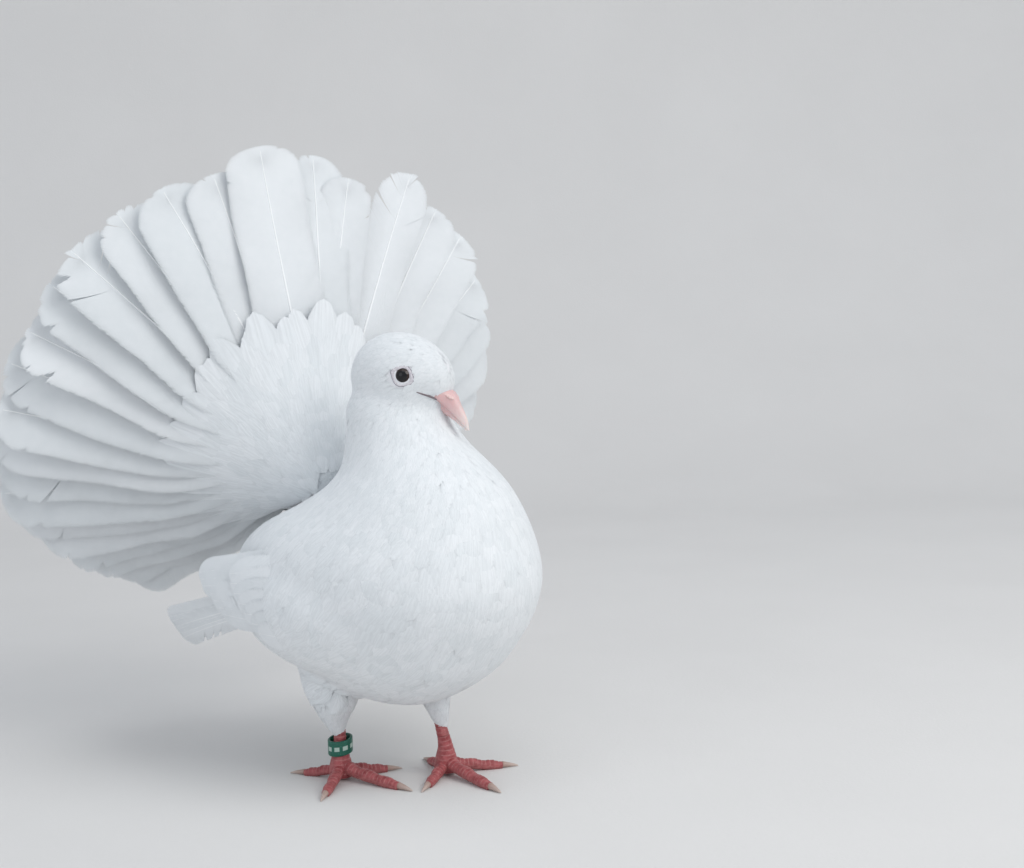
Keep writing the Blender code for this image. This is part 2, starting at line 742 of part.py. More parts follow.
def thigh_mesh(name, foot, top_z):
    """The feathered thigh, from inside the body down to where the bare leg starts."""
    rings = []
    foot_section = (top_z / MM, THIGH_FOOT_HALF, THIGH_FOOT_HALF, 0.0)
    for height, half_width, half_length, back in THIGH_SECTIONS + (foot_section,):
        ring = []
        for step in range(THIGH_POINTS):
            turn = 2 * math.pi * step / THIGH_POINTS
            x = foot.x + half_width * MM * math.cos(turn)
            y = foot.y + (back + half_length * math.sin(turn)) * MM
            ring.append((x, y, height * MM))
        rings.append(ring)
    return loft(name, rings)


def toe_path(foot, heading, length, radii):
    """Points of a toe from the ankle, down on to the floor and out, its pads pressed flat by SOLE."""
    direction = Vector((math.sin(heading), -math.cos(heading), 0.0))
    path = []
    for index, radius in enumerate(radii):
        share = index / (len(radii) - 1)
        drop = TOE_DROP * (1.0 - share) ** 2.4
        arch = TOE_ARCH * math.sin(math.pi * share) ** 2
        height = radius * TOE_FLATTEN - SOLE + arch + drop
        path.append(foot + direction * (length * share) + Vector((0, 0, height)))
    return path, direction


def build_leg(side, sign, foot, collection):
    top = SHANK_TOP_Z[side]
    boot = thigh_mesh(f"thigh_{side}", foot, top + GAP)
    thigh = add_object(f"thigh_{side}", boot, "plumage", collection)
    room = body_solid("thigh_room", BODY_FOOT_Z, THIGH_ROOM_TOP_Z, GAP)
    carve(thigh, [add_object("thigh_room", room, "plumage", collection)])
    shade(thigh)
    heights = np.linspace(ANKLE_Z + GAP, top, 7)
    path = [foot + Vector((0.0, 0.0, float(height))) for height in heights]
    radii = [SHANK_RADIUS * (1.0 + 0.12 * abs(2 * k / 6 - 1) ** 2) for k in range(7)]
    shade(add_object(f"shank_{side}", tube_mesh(f"shank_{side}", path, radii, 14), "leg", collection))
    hub_path = [foot + Vector((0.0, 0.0, ANKLE_Z * share)) for share in HUB_SHARES]
    pieces = []
    for toe, (angle, length, radius) in TOES.items():
        heading = -sign * TOE_IN + sign * math.radians(angle)
        sizes = [radius * MM * share for share in KNUCKLES]
        points, direction = toe_path(foot, heading, length * MM, sizes)
        mesh = tube_mesh(f"{toe}_{side}", points, sizes, 10, TOE_FLATTEN)
        pieces.append(add_object(mesh.name, mesh, "leg", collection))
        build_claw(f"claw_{toe}_{side}", points[-1], direction, sizes[-1] * 0.85, collection)
    hub = tube_mesh(f"foot_{side}", hub_path, HUB_RADII, 14)
    paw = add_object(f"foot_{side}", hub, "leg", collection)
    unite(paw, pieces)
    under = slab("under_foot", -0.05, 0.0)
    carve(paw, [add_object(under.name, under, "leg", collection)])
    shade(paw)


def build_claw(name, root, direction, radius, collection):
    path, radii = [], []
    for step in range(5):
        share = step / 4
        reach = GAP + CLAW_LENGTH * share
        size = radius * (1 - share) ** 0.7 + 0.2 * MM
        rise = 0.5 * MM * math.sin(math.pi * min(1.0, share * 1.3)) * (1 - share)
        height = max(root.z + rise - 0.8 * MM * share, size + CLAW_CLEARANCE)
        radii.append(size)
        path.append(Vector((root.x, root.y, height)) + direction * reach)
    shade(add_object(name, tube_mesh(name, path, radii, 7), "claw", collection))


def build_ring(collection):
    """The closed leg band on the right shank, leaning on it at one side."""
    slack = RING_INNER_RADIUS - SHANK_RADIUS * 1.02 - GAP * 1.6
    centre = Vector((RIGHT_FOOT.x + slack * 0.4, RIGHT_FOOT.y + slack * 0.4, RING_CENTRE_Z))
    steps = 22
    half = RING_HEIGHT / 2
    profile = (
        (RING_INNER_RADIUS, -half),
        (RING_OUTER_RADIUS - 0.2 * MM, -half),
        (RING_OUTER_RADIUS, -half + 0.2 * MM),
        (RING_OUTER_RADIUS, half - 0.2 * MM),
        (RING_OUTER_RADIUS - 0.2 * MM, half),
        (RING_INNER_RADIUS, half),
    )
    points, faces = [], []
    for step in range(steps):
        turn = 2 * math.pi * step / steps
        for radius, rise in profile:
            tilted = rise + radius * math.cos(turn) * math.sin(RING_TILT)
            points.append(centre + Vector((radius * math.cos(turn), radius * math.sin(turn), tilted)))
    count = len(profile)
    for step in range(steps):
        here, there = step * count, ((step + 1) % steps) * count
        for part in range(count):
            following = (part + 1) % count
            faces.append((here + part, here + following, there + following, there + part))
    shade(add_object("leg_ring", mesh_from("leg_ring", points, faces), "ring", collection))


def stand_on_origin(collection):
    """Moves the bird so that the origin lies on the floor under the middle of its bounds."""
    corners = []
    for item in collection.objects:
        corners += [item.matrix_world @ Vector(corner) for corner in item.bound_box]
    low = [min(corner[axis] for corner in corners) for axis in range(2)]
    high = [max(corner[axis] for corner in corners) for axis in range(2)]
    shift = Vector((-(low[0] + high[0]) / 2, -(low[1] + high[1]) / 2, 0.0))
    for item in collection.objects:
        item.location += shift


def main():
    clear_scene()
    bird = new_collection("white_fantail_pigeon")
    build_body(bird)
    shade(build_head(bird))
    tail = build_tail(bird)
    room = body_solid("tail_room", BODY_FOOT_Z, ROOM_TOP_Z, GAP)
    room = add_object("tail_room", room, "plumage", bird)
    carve(tail, [room])
    for side, sign in SIDES.items():
        build_wing(f"wing_{side}", sign, bird)
    build_leg("right", SIDES["right"], RIGHT_FOOT, bird)
    build_leg("left", SIDES["left"], LEFT_FOOT, bird)
    build_ring(bird)
    stand_on_origin(bird)


main()
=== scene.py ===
"""White fantail pigeon: skin, plumage, legs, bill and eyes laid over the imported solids.

Shapes are worked out in the bird's own frame, in metres: the middle of the body at x = 0, the
floor at z = 0, the bird facing -Y with its right side at -X. ORIGIN carries them into the frame.
"""

import itertools
import math

import bmesh
import bpy
import numpy as np
from mathutils import Matrix, Vector
from mathutils.bvhtree import BVHTree


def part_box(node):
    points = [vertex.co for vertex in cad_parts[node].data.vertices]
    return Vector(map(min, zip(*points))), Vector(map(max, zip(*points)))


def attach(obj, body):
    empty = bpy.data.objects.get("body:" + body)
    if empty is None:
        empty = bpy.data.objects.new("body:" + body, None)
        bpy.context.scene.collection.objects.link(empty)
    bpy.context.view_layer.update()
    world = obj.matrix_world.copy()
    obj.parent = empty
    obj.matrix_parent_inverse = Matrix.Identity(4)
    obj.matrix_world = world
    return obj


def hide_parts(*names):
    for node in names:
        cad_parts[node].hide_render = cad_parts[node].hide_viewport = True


MM = 0.001
SIDES = {"right": -1.0, "left": 1.0}

# Body and neck as level sections: height, half width, half length, centre along Y, all in mm.
BODY_SECTIONS = (
    (33.0, 3.0, 4.5, -5.0),
    (34.5, 9.0, 13.0, -5.0),
    (38.0, 18.0, 24.0, -5.0),
    (43.0, 27.0, 35.0, -4.5),
    (50.0, 36.0, 47.0, -3.0),
    (60.0, 45.0, 60.0, 1.5),
    (73.0, 51.5, 69.5, 3.0),
    (86.0, 53.5, 72.0, 2.0),
    (97.0, 52.0, 68.5, 0.0),
    (106.0, 47.5, 61.0, -5.0),
    (114.0, 41.5, 50.5, -12.5),
    (123.0, 35.0, 39.5, -18.0),
    (131.0, 29.0, 32.5, -17.7),
    (139.0, 24.8, 27.1, -13.1),
    (147.0, 21.8, 23.5, -9.5),
    (155.0, 19.9, 20.9, -6.3),
    (161.0, 17.0, 17.4, -6.3),
)
# Thigh sections: height, half width, half length, offset across and back from the foot, in mm.
THIGH_SECTIONS = {
    "right": (
        (16.6, 3.4, 3.4, 0.0, 0.0),
        (21.0, 5.2, 5.2, -0.6, 0.6),
        (25.5, 7.2, 7.2, -1.4, 1.3),
        (30.6, 10.0, 10.2, -0.8, 1.4),
        (38.0, 12.0, 13.0, -0.4, 2.6),
        (47.0, 13.5, 15.0, 0.0, 4.0),
        (58.0, 14.0, 17.0, 0.0, 5.0),
        (70.0, 13.0, 16.0, 0.0, 6.0),
    ),
    "left": (
        (18.6, 3.7, 3.7, -0.4, 0.4),
        (22.0, 4.9, 4.9, -1.1, 1.0),
        (27.0, 6.2, 6.2, -2.0, 1.8),
        (31.0, 7.2, 7.2, -2.6, 2.4),
        (38.0, 9.4, 9.8, -2.5, 3.5),
        (47.0, 12.0, 14.0, -1.0, 4.0),
        (58.0, 14.0, 17.0, 0.0, 5.0),
        (70.0, 13.0, 16.0, 0.0, 6.0),
    ),
}

# Head
HEAD_CENTRE = np.array((0.0, -11.0, 166.0)) * MM
HEAD_TURN = math.radians(17.0)
HEAD_NOD = math.radians(14.0)
HEAD_HALF = np.array((22.3, 15.4, 18.3)) * MM
HEAD_BACK = 0.96
FACE_TAPER = 0.34
EYE_FORWARD = 7.6 * MM
EYE_RISE = 2.2 * MM
EYE_SIDE = 11.6 * MM
EYE_RADIUS = 3.9 * MM
EYE_SPLAY = 0.22
EYE_SLANT = math.radians(30.0)
LID_OPENING = (2.8 * MM, 3.15 * MM)
# Eyelid from its edge outward: distance from the edge and height over the eye or skin, in mm.
LID_PROFILE = (
    (0.0, -0.5),
    (0.0, 0.12),
    (0.1, 0.28),
    (0.3, 0.36),
    (0.6, 0.4),
    (0.9, 0.4),
    (1.15, 0.34),
    (1.4, 0.2),
    (1.75, -0.5),
)
CULMEN = ((15.0, -2.4), (20.4, -3.6), (24.1, -5.4), (26.8, -10.8), (29.2, -15.9), (30.0, -20.6))
MOUTH = ((12.0, -3.9), (17.0, -6.4), (20.2, -10.2), (23.8, -13.9), (26.9, -17.3), (29.2, -20.2))
KEEL = ((12.0, -10.4), (16.5, -12.4), (20.2, -14.4), (23.6, -16.5), (26.2, -18.6), (28.3, -20.4))
BILL_HALF_WIDTHS = (7.4, 6.5, 4.1, 2.6, 1.55, 0.45)
LOWER_BILL_SHARES = (0.4, 0.45, 0.7, 0.86, 0.88, 0.88)
# Gape behind the bill, a dark line of painted shade along the mouth's slit: forward, rise and radius in mm,
# laid on the side of the face
GAPE = (
    (12.6, -4.0, 0.16), (14.4, -5.0, 0.36), (16.4, -6.1, 0.42), (18.4, -7.6, 0.36), (19.8, -9.2, 0.2),
)
GAPE_LIFT = 0.22 * MM
# Chin: centre forward and up from the head's centre, half sizes in mm, and its nod
CHIN_CENTRE = (13.0, -12.0)
CHIN_HALF = np.array((8.6, 5.0, 3.0))
CHIN_NOD = math.radians(32.0)

# Coat: how far each part of the skin is set inside its solid before the parts are joined and
# smoothed, which moves the skin by some tenths of a millimetre; the head's is set outside.
BODY_COAT = 0.9 * MM
HEAD_COAT = -0.5 * MM
THIGH_COAT = 1.6 * MM
SKIN_VOXEL = 1.7 * MM
SKIN_SMOOTHING = 14
# Small feathers by height: height, length, half width, spacing, tip height, sink of the edges, in mm.
COAT_SIZES = np.array((
    (18.0, 7.0, 1.8, 1.8, 0.9, 0.10),
    (30.0, 10.0, 2.4, 2.4, 1.2, 0.00),
    (40.0, 14.0, 3.2, 2.8, 1.9, 0.00),
    (55.0, 19.0, 6.0, 4.0, 1.4, 0.25),
    (90.0, 19.0, 6.2, 4.0, 1.4, 0.25),
    (108.0, 17.0, 5.0, 3.4, 1.3, 0.20),
    (120.0, 15.0, 2.7, 2.1, 0.9, 0.15),
    (132.0, 13.0, 2.0, 1.6, 0.7, 0.10),
    (148.0, 10.0, 1.5, 1.25, 0.5, 0.06),
    (158.0, 6.6, 1.4, 1.1, 0.4, 0.06),
    (190.0, 5.6, 1.5, 1.1, 0.4, 0.08),
))
# By how much of themselves those sizes shrink on the face, by the tail's root and on the thighs
FACE_SHRINK = np.array((0.35, 0.3, 0.42, 0.3, 0.3))
TAIL_ROOT_SHRINK = np.array((0.62, 0.3, 0.28, 0.3, 0.3))
THIGH_SHRINK = np.array((0.4, 0.35, 0.4, 0.65, 0.3))
COAT_SEED = 7
SCATTER_TRIES = 160000
SCATTER_CELL = 6.5 * MM
FEATHER_ROWS = np.array((0.0, 0.28, 0.52, 0.72, 0.87, 1.0))
FEATHER_COLUMNS = 9
FEATHER_SWING = 0.13
SHINGLE_SLOPE = 0.2
ROOT_DEPTH = 0.12
# The most a feather may be stretched as it is laid; one that is stretched further is left out
STRETCH = 1.5
# How far a feather is shaded as the skin under it is, and how much less on the neck
SOFTNESS = 0.6
NECK_RELIEF = 0.3
RUMP_PIECE = 38.0 * MM
COAT_BASE_Z = 33.0

# Tail fan: a shallow dish of feathers round one root
FAN_ROOT = np.array((0.0, 39.0, 124.0)) * MM
FAN_YAW = math.radians(-14.0)
FAN_LEAN = math.radians(-5.0)
FAN_SWEEP_TOP = math.radians(11.0)
FAN_SWEEP_RANGE = math.radians(45.0)
FAN_TILT = math.radians(1.6)
FAN_WAVE = 2.2 * MM
FAN_LAYERING = 0.4
FAN_HALF_WIDTH = 16.0 * MM
RUMP_REACH = 32.0 * MM
RUMP_THICK = (9.5 * MM, 12.5 * MM)
RECTRIX_BARBS = 170
TAIL_SEED = 11
# Tail feathers, from low on the right over the top to low on the left: angle from the top in
# degrees, length in mm, width as a share, lift towards the head in mm, twist in degrees, wear.
RECTRICES = (
    (-135.5, 121.0, 1.00, 3.0, 4.0, 0.3),
    (-129.0, 124.0, 0.95, 0.2, 0.0, 0.4),
    (-122.0, 128.0, 1.02, 3.2, -2.0, 0.4),
    (-115.5, 130.0, 0.95, 0.4, 0.0, 0.4),
    (-109.0, 132.5, 1.02, 3.0, 2.0, 0.6),
    (-102.5, 138.0, 1.00, 0.2, 0.0, 0.4),
    (-96.0, 139.5, 1.05, 3.2, -2.0, 0.5),
    (-89.0, 138.0, 1.00, 0.3, 0.0, 0.5),
    (-82.5, 139.5, 1.06, 3.4, 3.0, 0.4),
    (-76.0, 137.0, 1.00, 0.2, 4.0, 0.5),
    (-69.0, 138.5, 1.08, 3.0, -3.0, 0.8),
    (-61.0, 136.0, 0.95, 0.5, 10.0, 0.7),
    (-53.0, 138.0, 1.04, 2.6, 0.0, 0.5),
    (-44.5, 139.5, 1.02, 0.4, 8.0, 0.9),
    (-35.5, 138.5, 1.00, 1.8, 5.0, 0.5),
    (-25.5, 137.0, 1.12, 3.8, 0.0, 0.2),
    (-17.5, 134.0, 1.00, 0.5, 0.0, 0.4),
    (-8.5, 141.0, 1.10, 3.8, 0.0, 0.1),
    (-1.0, 133.0, 0.95, 0.2, 0.0, 0.4),
    (4.5, 137.5, 0.92, 2.2, 4.0, 0.5),
    (9.5, 129.0, 0.76, 0.2, 8.0, 0.3),
    (23.8, 142.0, 0.74, 2.2, 14.0, 0.9),
    (33.0, 135.5, 0.86, 0.2, 18.0, 0.6),
    (43.5, 139.5, 0.98, 3.0, 10.0, 0.4),
    (53.0, 138.0, 1.00, 0.3, 6.0, 0.4),
    (62.0, 138.0, 1.02, 3.2, 2.0, 0.4),
    (71.0, 141.0, 1.00, 0.4, 0.0, 0.5),
    (80.0, 138.0, 1.04, 3.0, -3.0, 0.4),
    (89.0, 139.0, 1.00, 0.2, 2.0, 0.4),
    (98.0, 137.0, 1.03, 3.2, 0.0, 0.4),
    (107.0, 135.0, 0.98, 0.3, -2.0, 0.5),
    (116.0, 132.0, 1.02, 3.0, 0.0, 0.4),
    (125.5, 127.0, 0.95, 0.2, 2.0, 0.4),
    (134.5, 121.0, 1.00, 3.0, 0.0, 0.3),
)
# Coverts on the fan's front and back: how far the bed they lie on stands off the dish at the
# root and beyond it, the root's reach, where the coverts' own roots end, all in mm, and their seed.
COVERTS = {
    "front": (-10.1, -5.4, 48.0, 34.0, 23),
    "back": (14.0, 3.0, 44.0, 58.0, 29),
}
COVERT_SPREAD = math.radians(140.0)
# Their length, half width, spacing, tip height and sink: nearest the root, and farthest from it.
COVERT_NEAR = np.array((9.0, 3.4, 2.2, 0.5, 0.15)) * MM
COVERT_FAR = np.array((30.0, 7.6, 4.2, 0.65, 0.33)) * MM
COVERT_SOFTNESS = 0.85
COVERT_FRINGE = 0.025

# Folded wing
WING_BULGE = 59.0 * MM
WING_BULGE_Y = 20.0 * MM
WING_MIDDLE_Z = 79.0 * MM
WING_FALL_FRONT = 12.2
WING_FALL_BACK = 2.9
WING_FALL_Z = 14.0
WING_CORE_CENTRE = (-6.0, 76.0)
WING_CORE_HALF = (42.0, 28.0)
WING_TILT = math.radians(3.0)
WING_SOFTNESS = 0.8
WING_CORE_DEPTH = 11.0 * MM
WING_ROOT_SUNK = -6.0 * MM
WING_BARB = 1.3 * MM
WING_SEED = 5
WING_TIPS = {"primary": 0.88, "secondary": 0.84, "greater": 0.7}
# Where the lowest primary's lower vane is parted, as shares of its barbs
WING_PARTINGS = (0.46, 0.56, 0.67)
# Tiers: count, root (y, z) low and high, tip (y, z) low and high, half width, lift, all in mm.
WING_TIERS = (
    ("primary", 6, (6, 81), (8, 85), (86, 54), (87, 64), 4.6, -2.6),
    ("secondary", 7, (-12, 72), (-8, 100), (38, 73), (57, 88), 5.6, -1.3),
    ("greater", 7, (-20, 66), (-14, 96), (16, 68), (36, 90), 6.6, -0.8),
)

# Legs
FEET = {"right": np.array((-18.3, 13.7, 0.0)) * MM, "left": np.array((13.7, -16.1, 0.0)) * MM}
TOE_IN = math.radians(9.0)
ANKLE_Z = 9.4 * MM
SHANK_TOP_Z = {"right": 20.0 * MM, "left": 24.0 * MM}
SHANK_STATIONS = (1.2, 3.8, 6.6, 9.4, 12.0, 16.0, 20.0, 28.0)
SHANK_RADII = (4.8, 5.1, 4.6, 3.8, 3.1, 2.6, 2.4, 2.4)
SHANK_LEAN = {"right": np.array((0.0, 0.0)) * MM, "left": np.array((-2.0, 1.8)) * MM}
TOE_PLUMPNESS = 1.08
# Toes: angle from the middle toe, length to the claw's root, root radius, all on the left foot.
TOES = {
    "middle": (0.0, 30.0, 2.7),
    "outer": (66.0, 24.0, 2.4),
    "inner": (-58.0, 20.0, 2.4),
    "hind": (168.0, 17.0, 2.2),
}
KNUCKLES = (1.0, 0.98, 0.86, 0.94, 0.78, 0.82, 0.62)
TOE_DROP = 3.8 * MM
TOE_ARCH = 0.35 * MM
TOE_FLATTEN = 0.92
SOLE = 0.4 * MM
CLAW_LENGTH = 7.0 * MM
CLAW_GAP = 0.3 * MM
CLAW_CLEARANCE = 0.15 * MM
RING_TILT = math.radians(9.0)
RING_OUTER = 5.2
RING_BARS = 9
RING_BAR_HALF = 0.9
# Ring, round its section from the inner foot: radius and height from its middle, in mm.
RING_PROFILE = (
    (4.3, -2.9), (4.45, -3.1), (4.95, -3.1), (5.15, -2.95), (5.2, -2.6), (5.2, -0.95), (5.2, -0.8),
    (5.2, 0.0), (5.2, 0.8), (5.2, 0.95), (5.2, 2.6), (5.15, 2.95), (4.95, 3.1), (4.45, 3.1), (4.3, 2.9),
)
SCUTE_PITCH = 1.9 * MM
SCUTE_RISE = 0.2 * MM

# Large feathers: where the vane starts and how far each barb slants forward, as shares of the
# length, how far a barb narrows at its end, and the shares along a barb that it is built at.
VANE_START = 0.1
BARB_SLANT = 0.13
BARB_TAPER = 0.5
BARB_STEPS = np.array((0.0, 0.3, 0.6, 0.82, 0.93, 1.0))[None, :]

# Plumage: painted shade at a small feather's edges and in its strands, strands across and along it and how
# far apart two feathers' strands are, and the two whites that every feather is mottled with
DOWN_EDGE_PAINTED_SHADE = 0.07
DOWN_STRAND_PAINTED_SHADE = 0.07
STRANDS = (9.0, 1.6, 57.0)
PLUMAGE_SHADE = (0.755, 0.79, 0.81)
PLUMAGE_WHITE = (0.86, 0.88, 0.90)

# Camera, in the bird's frame
CAMERA_AZIMUTH = math.radians(-43.0)
CAMERA_DISTANCE = 0.676
CAMERA_HEIGHT = 0.208
CAMERA_ROLL = math.radians(1.43)
PHOTO_WIDTH = 1024.0
PHOTO_CENTRE = (512.0, 434.0)
FOCAL_PX = 1650.0
BIRD_COLUMN = 384.5
HORIZON_ROW = 272.0
SENSOR_WIDTH = 36.0

# Lamps: name, azimuth round the bird from the camera's side and elevation in degrees, distance and
# size in metres, power in watts, colour; and the light from all round.
LAMPS = (
    ("key", 52.0, 38.0, 1.5, 1.1, 10.5, (1.0, 0.99, 0.96)),
    ("fill", -45.0, 20.0, 1.7, 1.4, 3.4, (0.93, 0.97, 1.0)),
    ("top", 10.0, 78.0, 1.6, 1.4, 4.5, (0.96, 0.98, 1.0)),
)
LAMP_TARGET_Z = 0.13
SKY_COLOUR = (0.88, 0.93, 1.0, 1.0)
SKY_STRENGTH = 0.6
# Stage: its front edge, where it starts to bend up, the bend's radius and steps, its top, half width
STAGE_FRONT, STAGE_BEND, STAGE_RADIUS, STAGE_STEPS = -1.6, 0.7, 0.5, 16
STAGE_TOP, STAGE_HALF_WIDTH = 1.8, 2.2

# Bake map: the body takes the top of the map, thighs and legs a strip below it.
PATCH = 0.003
MAP_FOOT = 0.22
MAP_TOP_Z = 190.0 * MM


def smooth_step(value, low, high):
    share = np.clip((value - low) / (high - low), 0.0, 1.0)
    return share * share * (3.0 - 2.0 * share)


def spline(stations, place):
    """Values of a smooth curve through stations (key, values...) at the given keys."""
    table = np.array(stations, dtype=float)
    keys, values = table[:, 0], table[:, 1:]
    slopes = np.gradient(values, keys, axis=0)
    cell = np.clip(np.searchsorted(keys, place) - 1, 0, len(keys) - 2)
    width = (keys[cell + 1] - keys[cell])[:, None]
    t = ((place - keys[cell]) / width[:, 0])[:, None]
    start, end = values[cell], values[cell + 1]
    rise, fall = slopes[cell] * width, slopes[cell + 1] * width
    return (
        start * (2 * t**3 - 3 * t**2 + 1)
        + rise * (t**3 - 2 * t**2 + t)
        + end * (3 * t**2 - 2 * t**3)
        + fall * (t**3 - t**2)
    )


def unit(vectors):
    return vectors / np.maximum(np.linalg.norm(vectors, axis=-1, keepdims=True), 1e-12)


def head_axes():
    forward = np.array((math.sin(HEAD_TURN), -math.cos(HEAD_TURN), 0.0))
    side = np.array((math.cos(HEAD_TURN), math.sin(HEAD_TURN), 0.0))
    return forward, side, np.array((0.0, 0.0, 1.0))


def head_point(forward, side, rise):
    """Places on the head from distances forward, to its left and up, which may be arrays."""
    along, across, up = head_axes()
    forward, side, rise = (np.asarray(part, float)[..., None] for part in (forward, side, rise))
    return HEAD_CENTRE + along * forward + across * side + up * rise


def eye_place(sign):
    return head_point(EYE_FORWARD, sign * EYE_SIDE, EYE_RISE)


def eye_axis(sign):
    along, across, _ = head_axes()
    return unit(across * sign + along * EYE_SPLAY)


# The frame and what is measured from it
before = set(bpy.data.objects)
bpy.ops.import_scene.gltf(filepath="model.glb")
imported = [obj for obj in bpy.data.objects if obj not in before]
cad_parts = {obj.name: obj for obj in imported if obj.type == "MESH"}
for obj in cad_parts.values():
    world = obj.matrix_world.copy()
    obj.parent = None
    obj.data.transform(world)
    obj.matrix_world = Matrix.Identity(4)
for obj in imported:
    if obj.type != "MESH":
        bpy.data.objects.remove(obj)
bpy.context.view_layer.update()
EYE_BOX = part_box("eye_right")
ORIGIN = (np.array(EYE_BOX[0]) + np.array(EYE_BOX[1])) / 2 - eye_place(-1.0)
PLACE = Matrix.Translation(ORIGIN)


def mesh_of(name, points, faces):
    """A mesh from arrays of points in the bird's frame and of faces with equal corner counts."""
    mesh = bpy.data.meshes.new(name)
    faces = np.asarray(faces, np.int32)
    mesh.vertices.add(len(points))
    mesh.vertices.foreach_set("co", np.asarray(points, np.float32).ravel())
    mesh.loops.add(faces.size)
    mesh.loops.foreach_set("vertex_index", faces.ravel())
    mesh.polygons.add(len(faces))
    mesh.polygons.foreach_set("loop_start", np.arange(0, faces.size, faces.shape[1], dtype=np.int32))
    mesh.update(calc_edges=True)
    mesh.validate()
    return mesh


def add_piece(name, mesh, finish, replaced=(), smooth=True):
    """Puts a mesh made in the bird's frame into the scene as a piece that rides on the bird."""
    mesh.transform(PLACE)
    item = bpy.data.objects.new(name, mesh)
    bpy.context.scene.collection.objects.link(item)
    if finish is not None:
        mesh.materials.clear()
        mesh.materials.append(finish)
    if smooth:
        mesh.shade_smooth()
    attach(item, "root")
    if replaced:
        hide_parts(*replaced)
    return item


def sphere_mesh(name, segments, rings, place):
    """A closed mesh from a unit sphere whose points go where place puts them, and those points."""
    shape = bmesh.new()
    bmesh.ops.create_uvsphere(shape, u_segments=segments, v_segments=rings, radius=1.0)
    points = np.array([vert.co for vert in shape.verts])
    for vert, spot in zip(shape.verts, place(points)):
        vert.co = spot
    bmesh.ops.recalc_face_normals(shape, faces=shape.faces)
    mesh = bpy.data.meshes.new(name)
    shape.to_mesh(mesh)
    shape.free()
    return mesh, points


def nodded(along, up, angle):
    """Distances along and up after the head's nod by an angle."""
    cosine, sine = math.cos(angle), math.sin(angle)
    return along * cosine + up * sine, up * cosine - along * sine


def grid_cells(rows, columns, closed=False):
    """Quads of a grid of points, whose rows may close on themselves."""
    i, j = np.meshgrid(np.arange(rows - 1), np.arange(columns if closed else columns - 1), indexing="ij")
    here, aside = (i * columns + j).ravel(), (i * columns + (j + 1) % columns).ravel()
    return np.stack((here, here + columns, aside + columns, aside), 1)


def flat_distance(points, spot):
    """Distance of each point from a spot, seen from above."""
    return np.linalg.norm(points[:, :2] - spot[:2], axis=1)


def set_map(mesh, name, values):
    """A UV map from one value per point."""
    layer = mesh.uv_layers.new(name=name)
    corners = np.empty(len(mesh.loops), np.int32)
    mesh.loops.foreach_get("vertex_index", corners)
    layer.data.foreach_set("uv", np.asarray(values, np.float32)[corners].ravel())


def set_number(mesh, name, values):
    field = mesh.attributes.new(name, "FLOAT", "POINT")
    field.data.foreach_set("value", np.asarray(values, np.float32))


def loft_arrays(rings):
    """Points and triangles of a closed tube through rings of equal count."""
    rings = np.asarray(rings, float)
    levels, count = rings.shape[:2]
    points = np.concatenate((rings.reshape(-1, 3), [rings[0].mean(0), rings[-1].mean(0)]))
    cells = grid_cells(levels, count, closed=True)
    faces = [cells[:, (0, 3, 2)], cells[:, (0, 2, 1)]]
    index = np.arange(count)
    following = (index + 1) % count
    last = (levels - 1) * count
    foot, top = np.full(count, len(points) - 2), np.full(count, len(points) - 1)
    faces.append(np.stack((following, index, foot), 1))
    faces.append(np.stack((last + index, last + following, top), 1))
    return points, np.concatenate(faces)


def outward(points, faces):
    """Turns the triangles of a closed mesh outward."""
    corner = points[faces]
    volume = np.einsum("ij,ij->i", corner[:, 0], np.cross(corner[:, 1], corner[:, 2])).sum()
    return faces if volume > 0 else faces[:, ::-1]


def closed_mesh(name, rings):
    points, faces = loft_arrays(rings)
    return mesh_of(name, points, outward(points, faces))


def tube_rings(path, radii, sides, flatten=1.0):
    """Rings across a path, each with its own radius."""
    path = np.asarray(path, float)
    along = unit(np.gradient(path, axis=0))
    up = np.array((0.0, 0.0, 1.0))
    across = np.cross(along, up)
    steep = np.linalg.norm(across, axis=1) < 0.2
    across[steep] = np.cross(along[steep], np.array((0.0, 1.0, 0.0)))
    across = unit(across)
    rise = unit(np.cross(across, along))
    turn = 2 * np.pi * (np.arange(sides) + 0.5) / sides
    radii = np.asarray(radii, float)
    radii = radii[:, None] if radii.ndim == 1 else radii
    cosine, sine = (np.cos(turn) * radii)[..., None], (np.sin(turn) * radii * flatten)[..., None]
    return path[:, None] + across[:, None] * cosine + rise[:, None] * sine


# Skin


def body_grid():
    heights = np.arange(BODY_SECTIONS[0][0], BODY_SECTIONS[-1][0] + 0.1, 1.6)
    sizes = spline(BODY_SECTIONS, heights)
    turn = np.linspace(0, 2 * np.pi, 96, endpoint=False)
    wide = np.maximum(sizes[:, :1] * MM - BODY_COAT, 0.4 * MM)
    long = np.maximum(sizes[:, 1:2] * MM - BODY_COAT, 0.4 * MM)
    x = wide * np.cos(turn)
    y = sizes[:, 2:3] * MM + long * np.sin(turn)
    z = np.broadcast_to((np.maximum(heights, COAT_BASE_Z + BODY_COAT / MM) * MM)[:, None], x.shape)
    return closed_mesh("body", np.stack((x, y, z), -1))


def head_place(points):
    forward, side, rise = -points[:, 1], points[:, 0], points[:, 2]
    half = HEAD_HALF - HEAD_COAT
    brow = 1.0 + 0.07 * np.maximum(0.0, forward) * np.maximum(0.0, rise)
    brow = np.where(forward < 0, HEAD_BACK, brow)
    cheek = 1.0 + 0.05 * np.maximum(0.0, -rise)
    cheek = cheek - FACE_TAPER * smooth_step(forward, 0.45, 0.85) * smooth_step(-rise, -0.25, 0.2)
    turned, lifted = nodded(forward * half[0] * brow, rise * half[2], HEAD_NOD)
    return head_point(turned, side * half[1] * cheek, lifted)


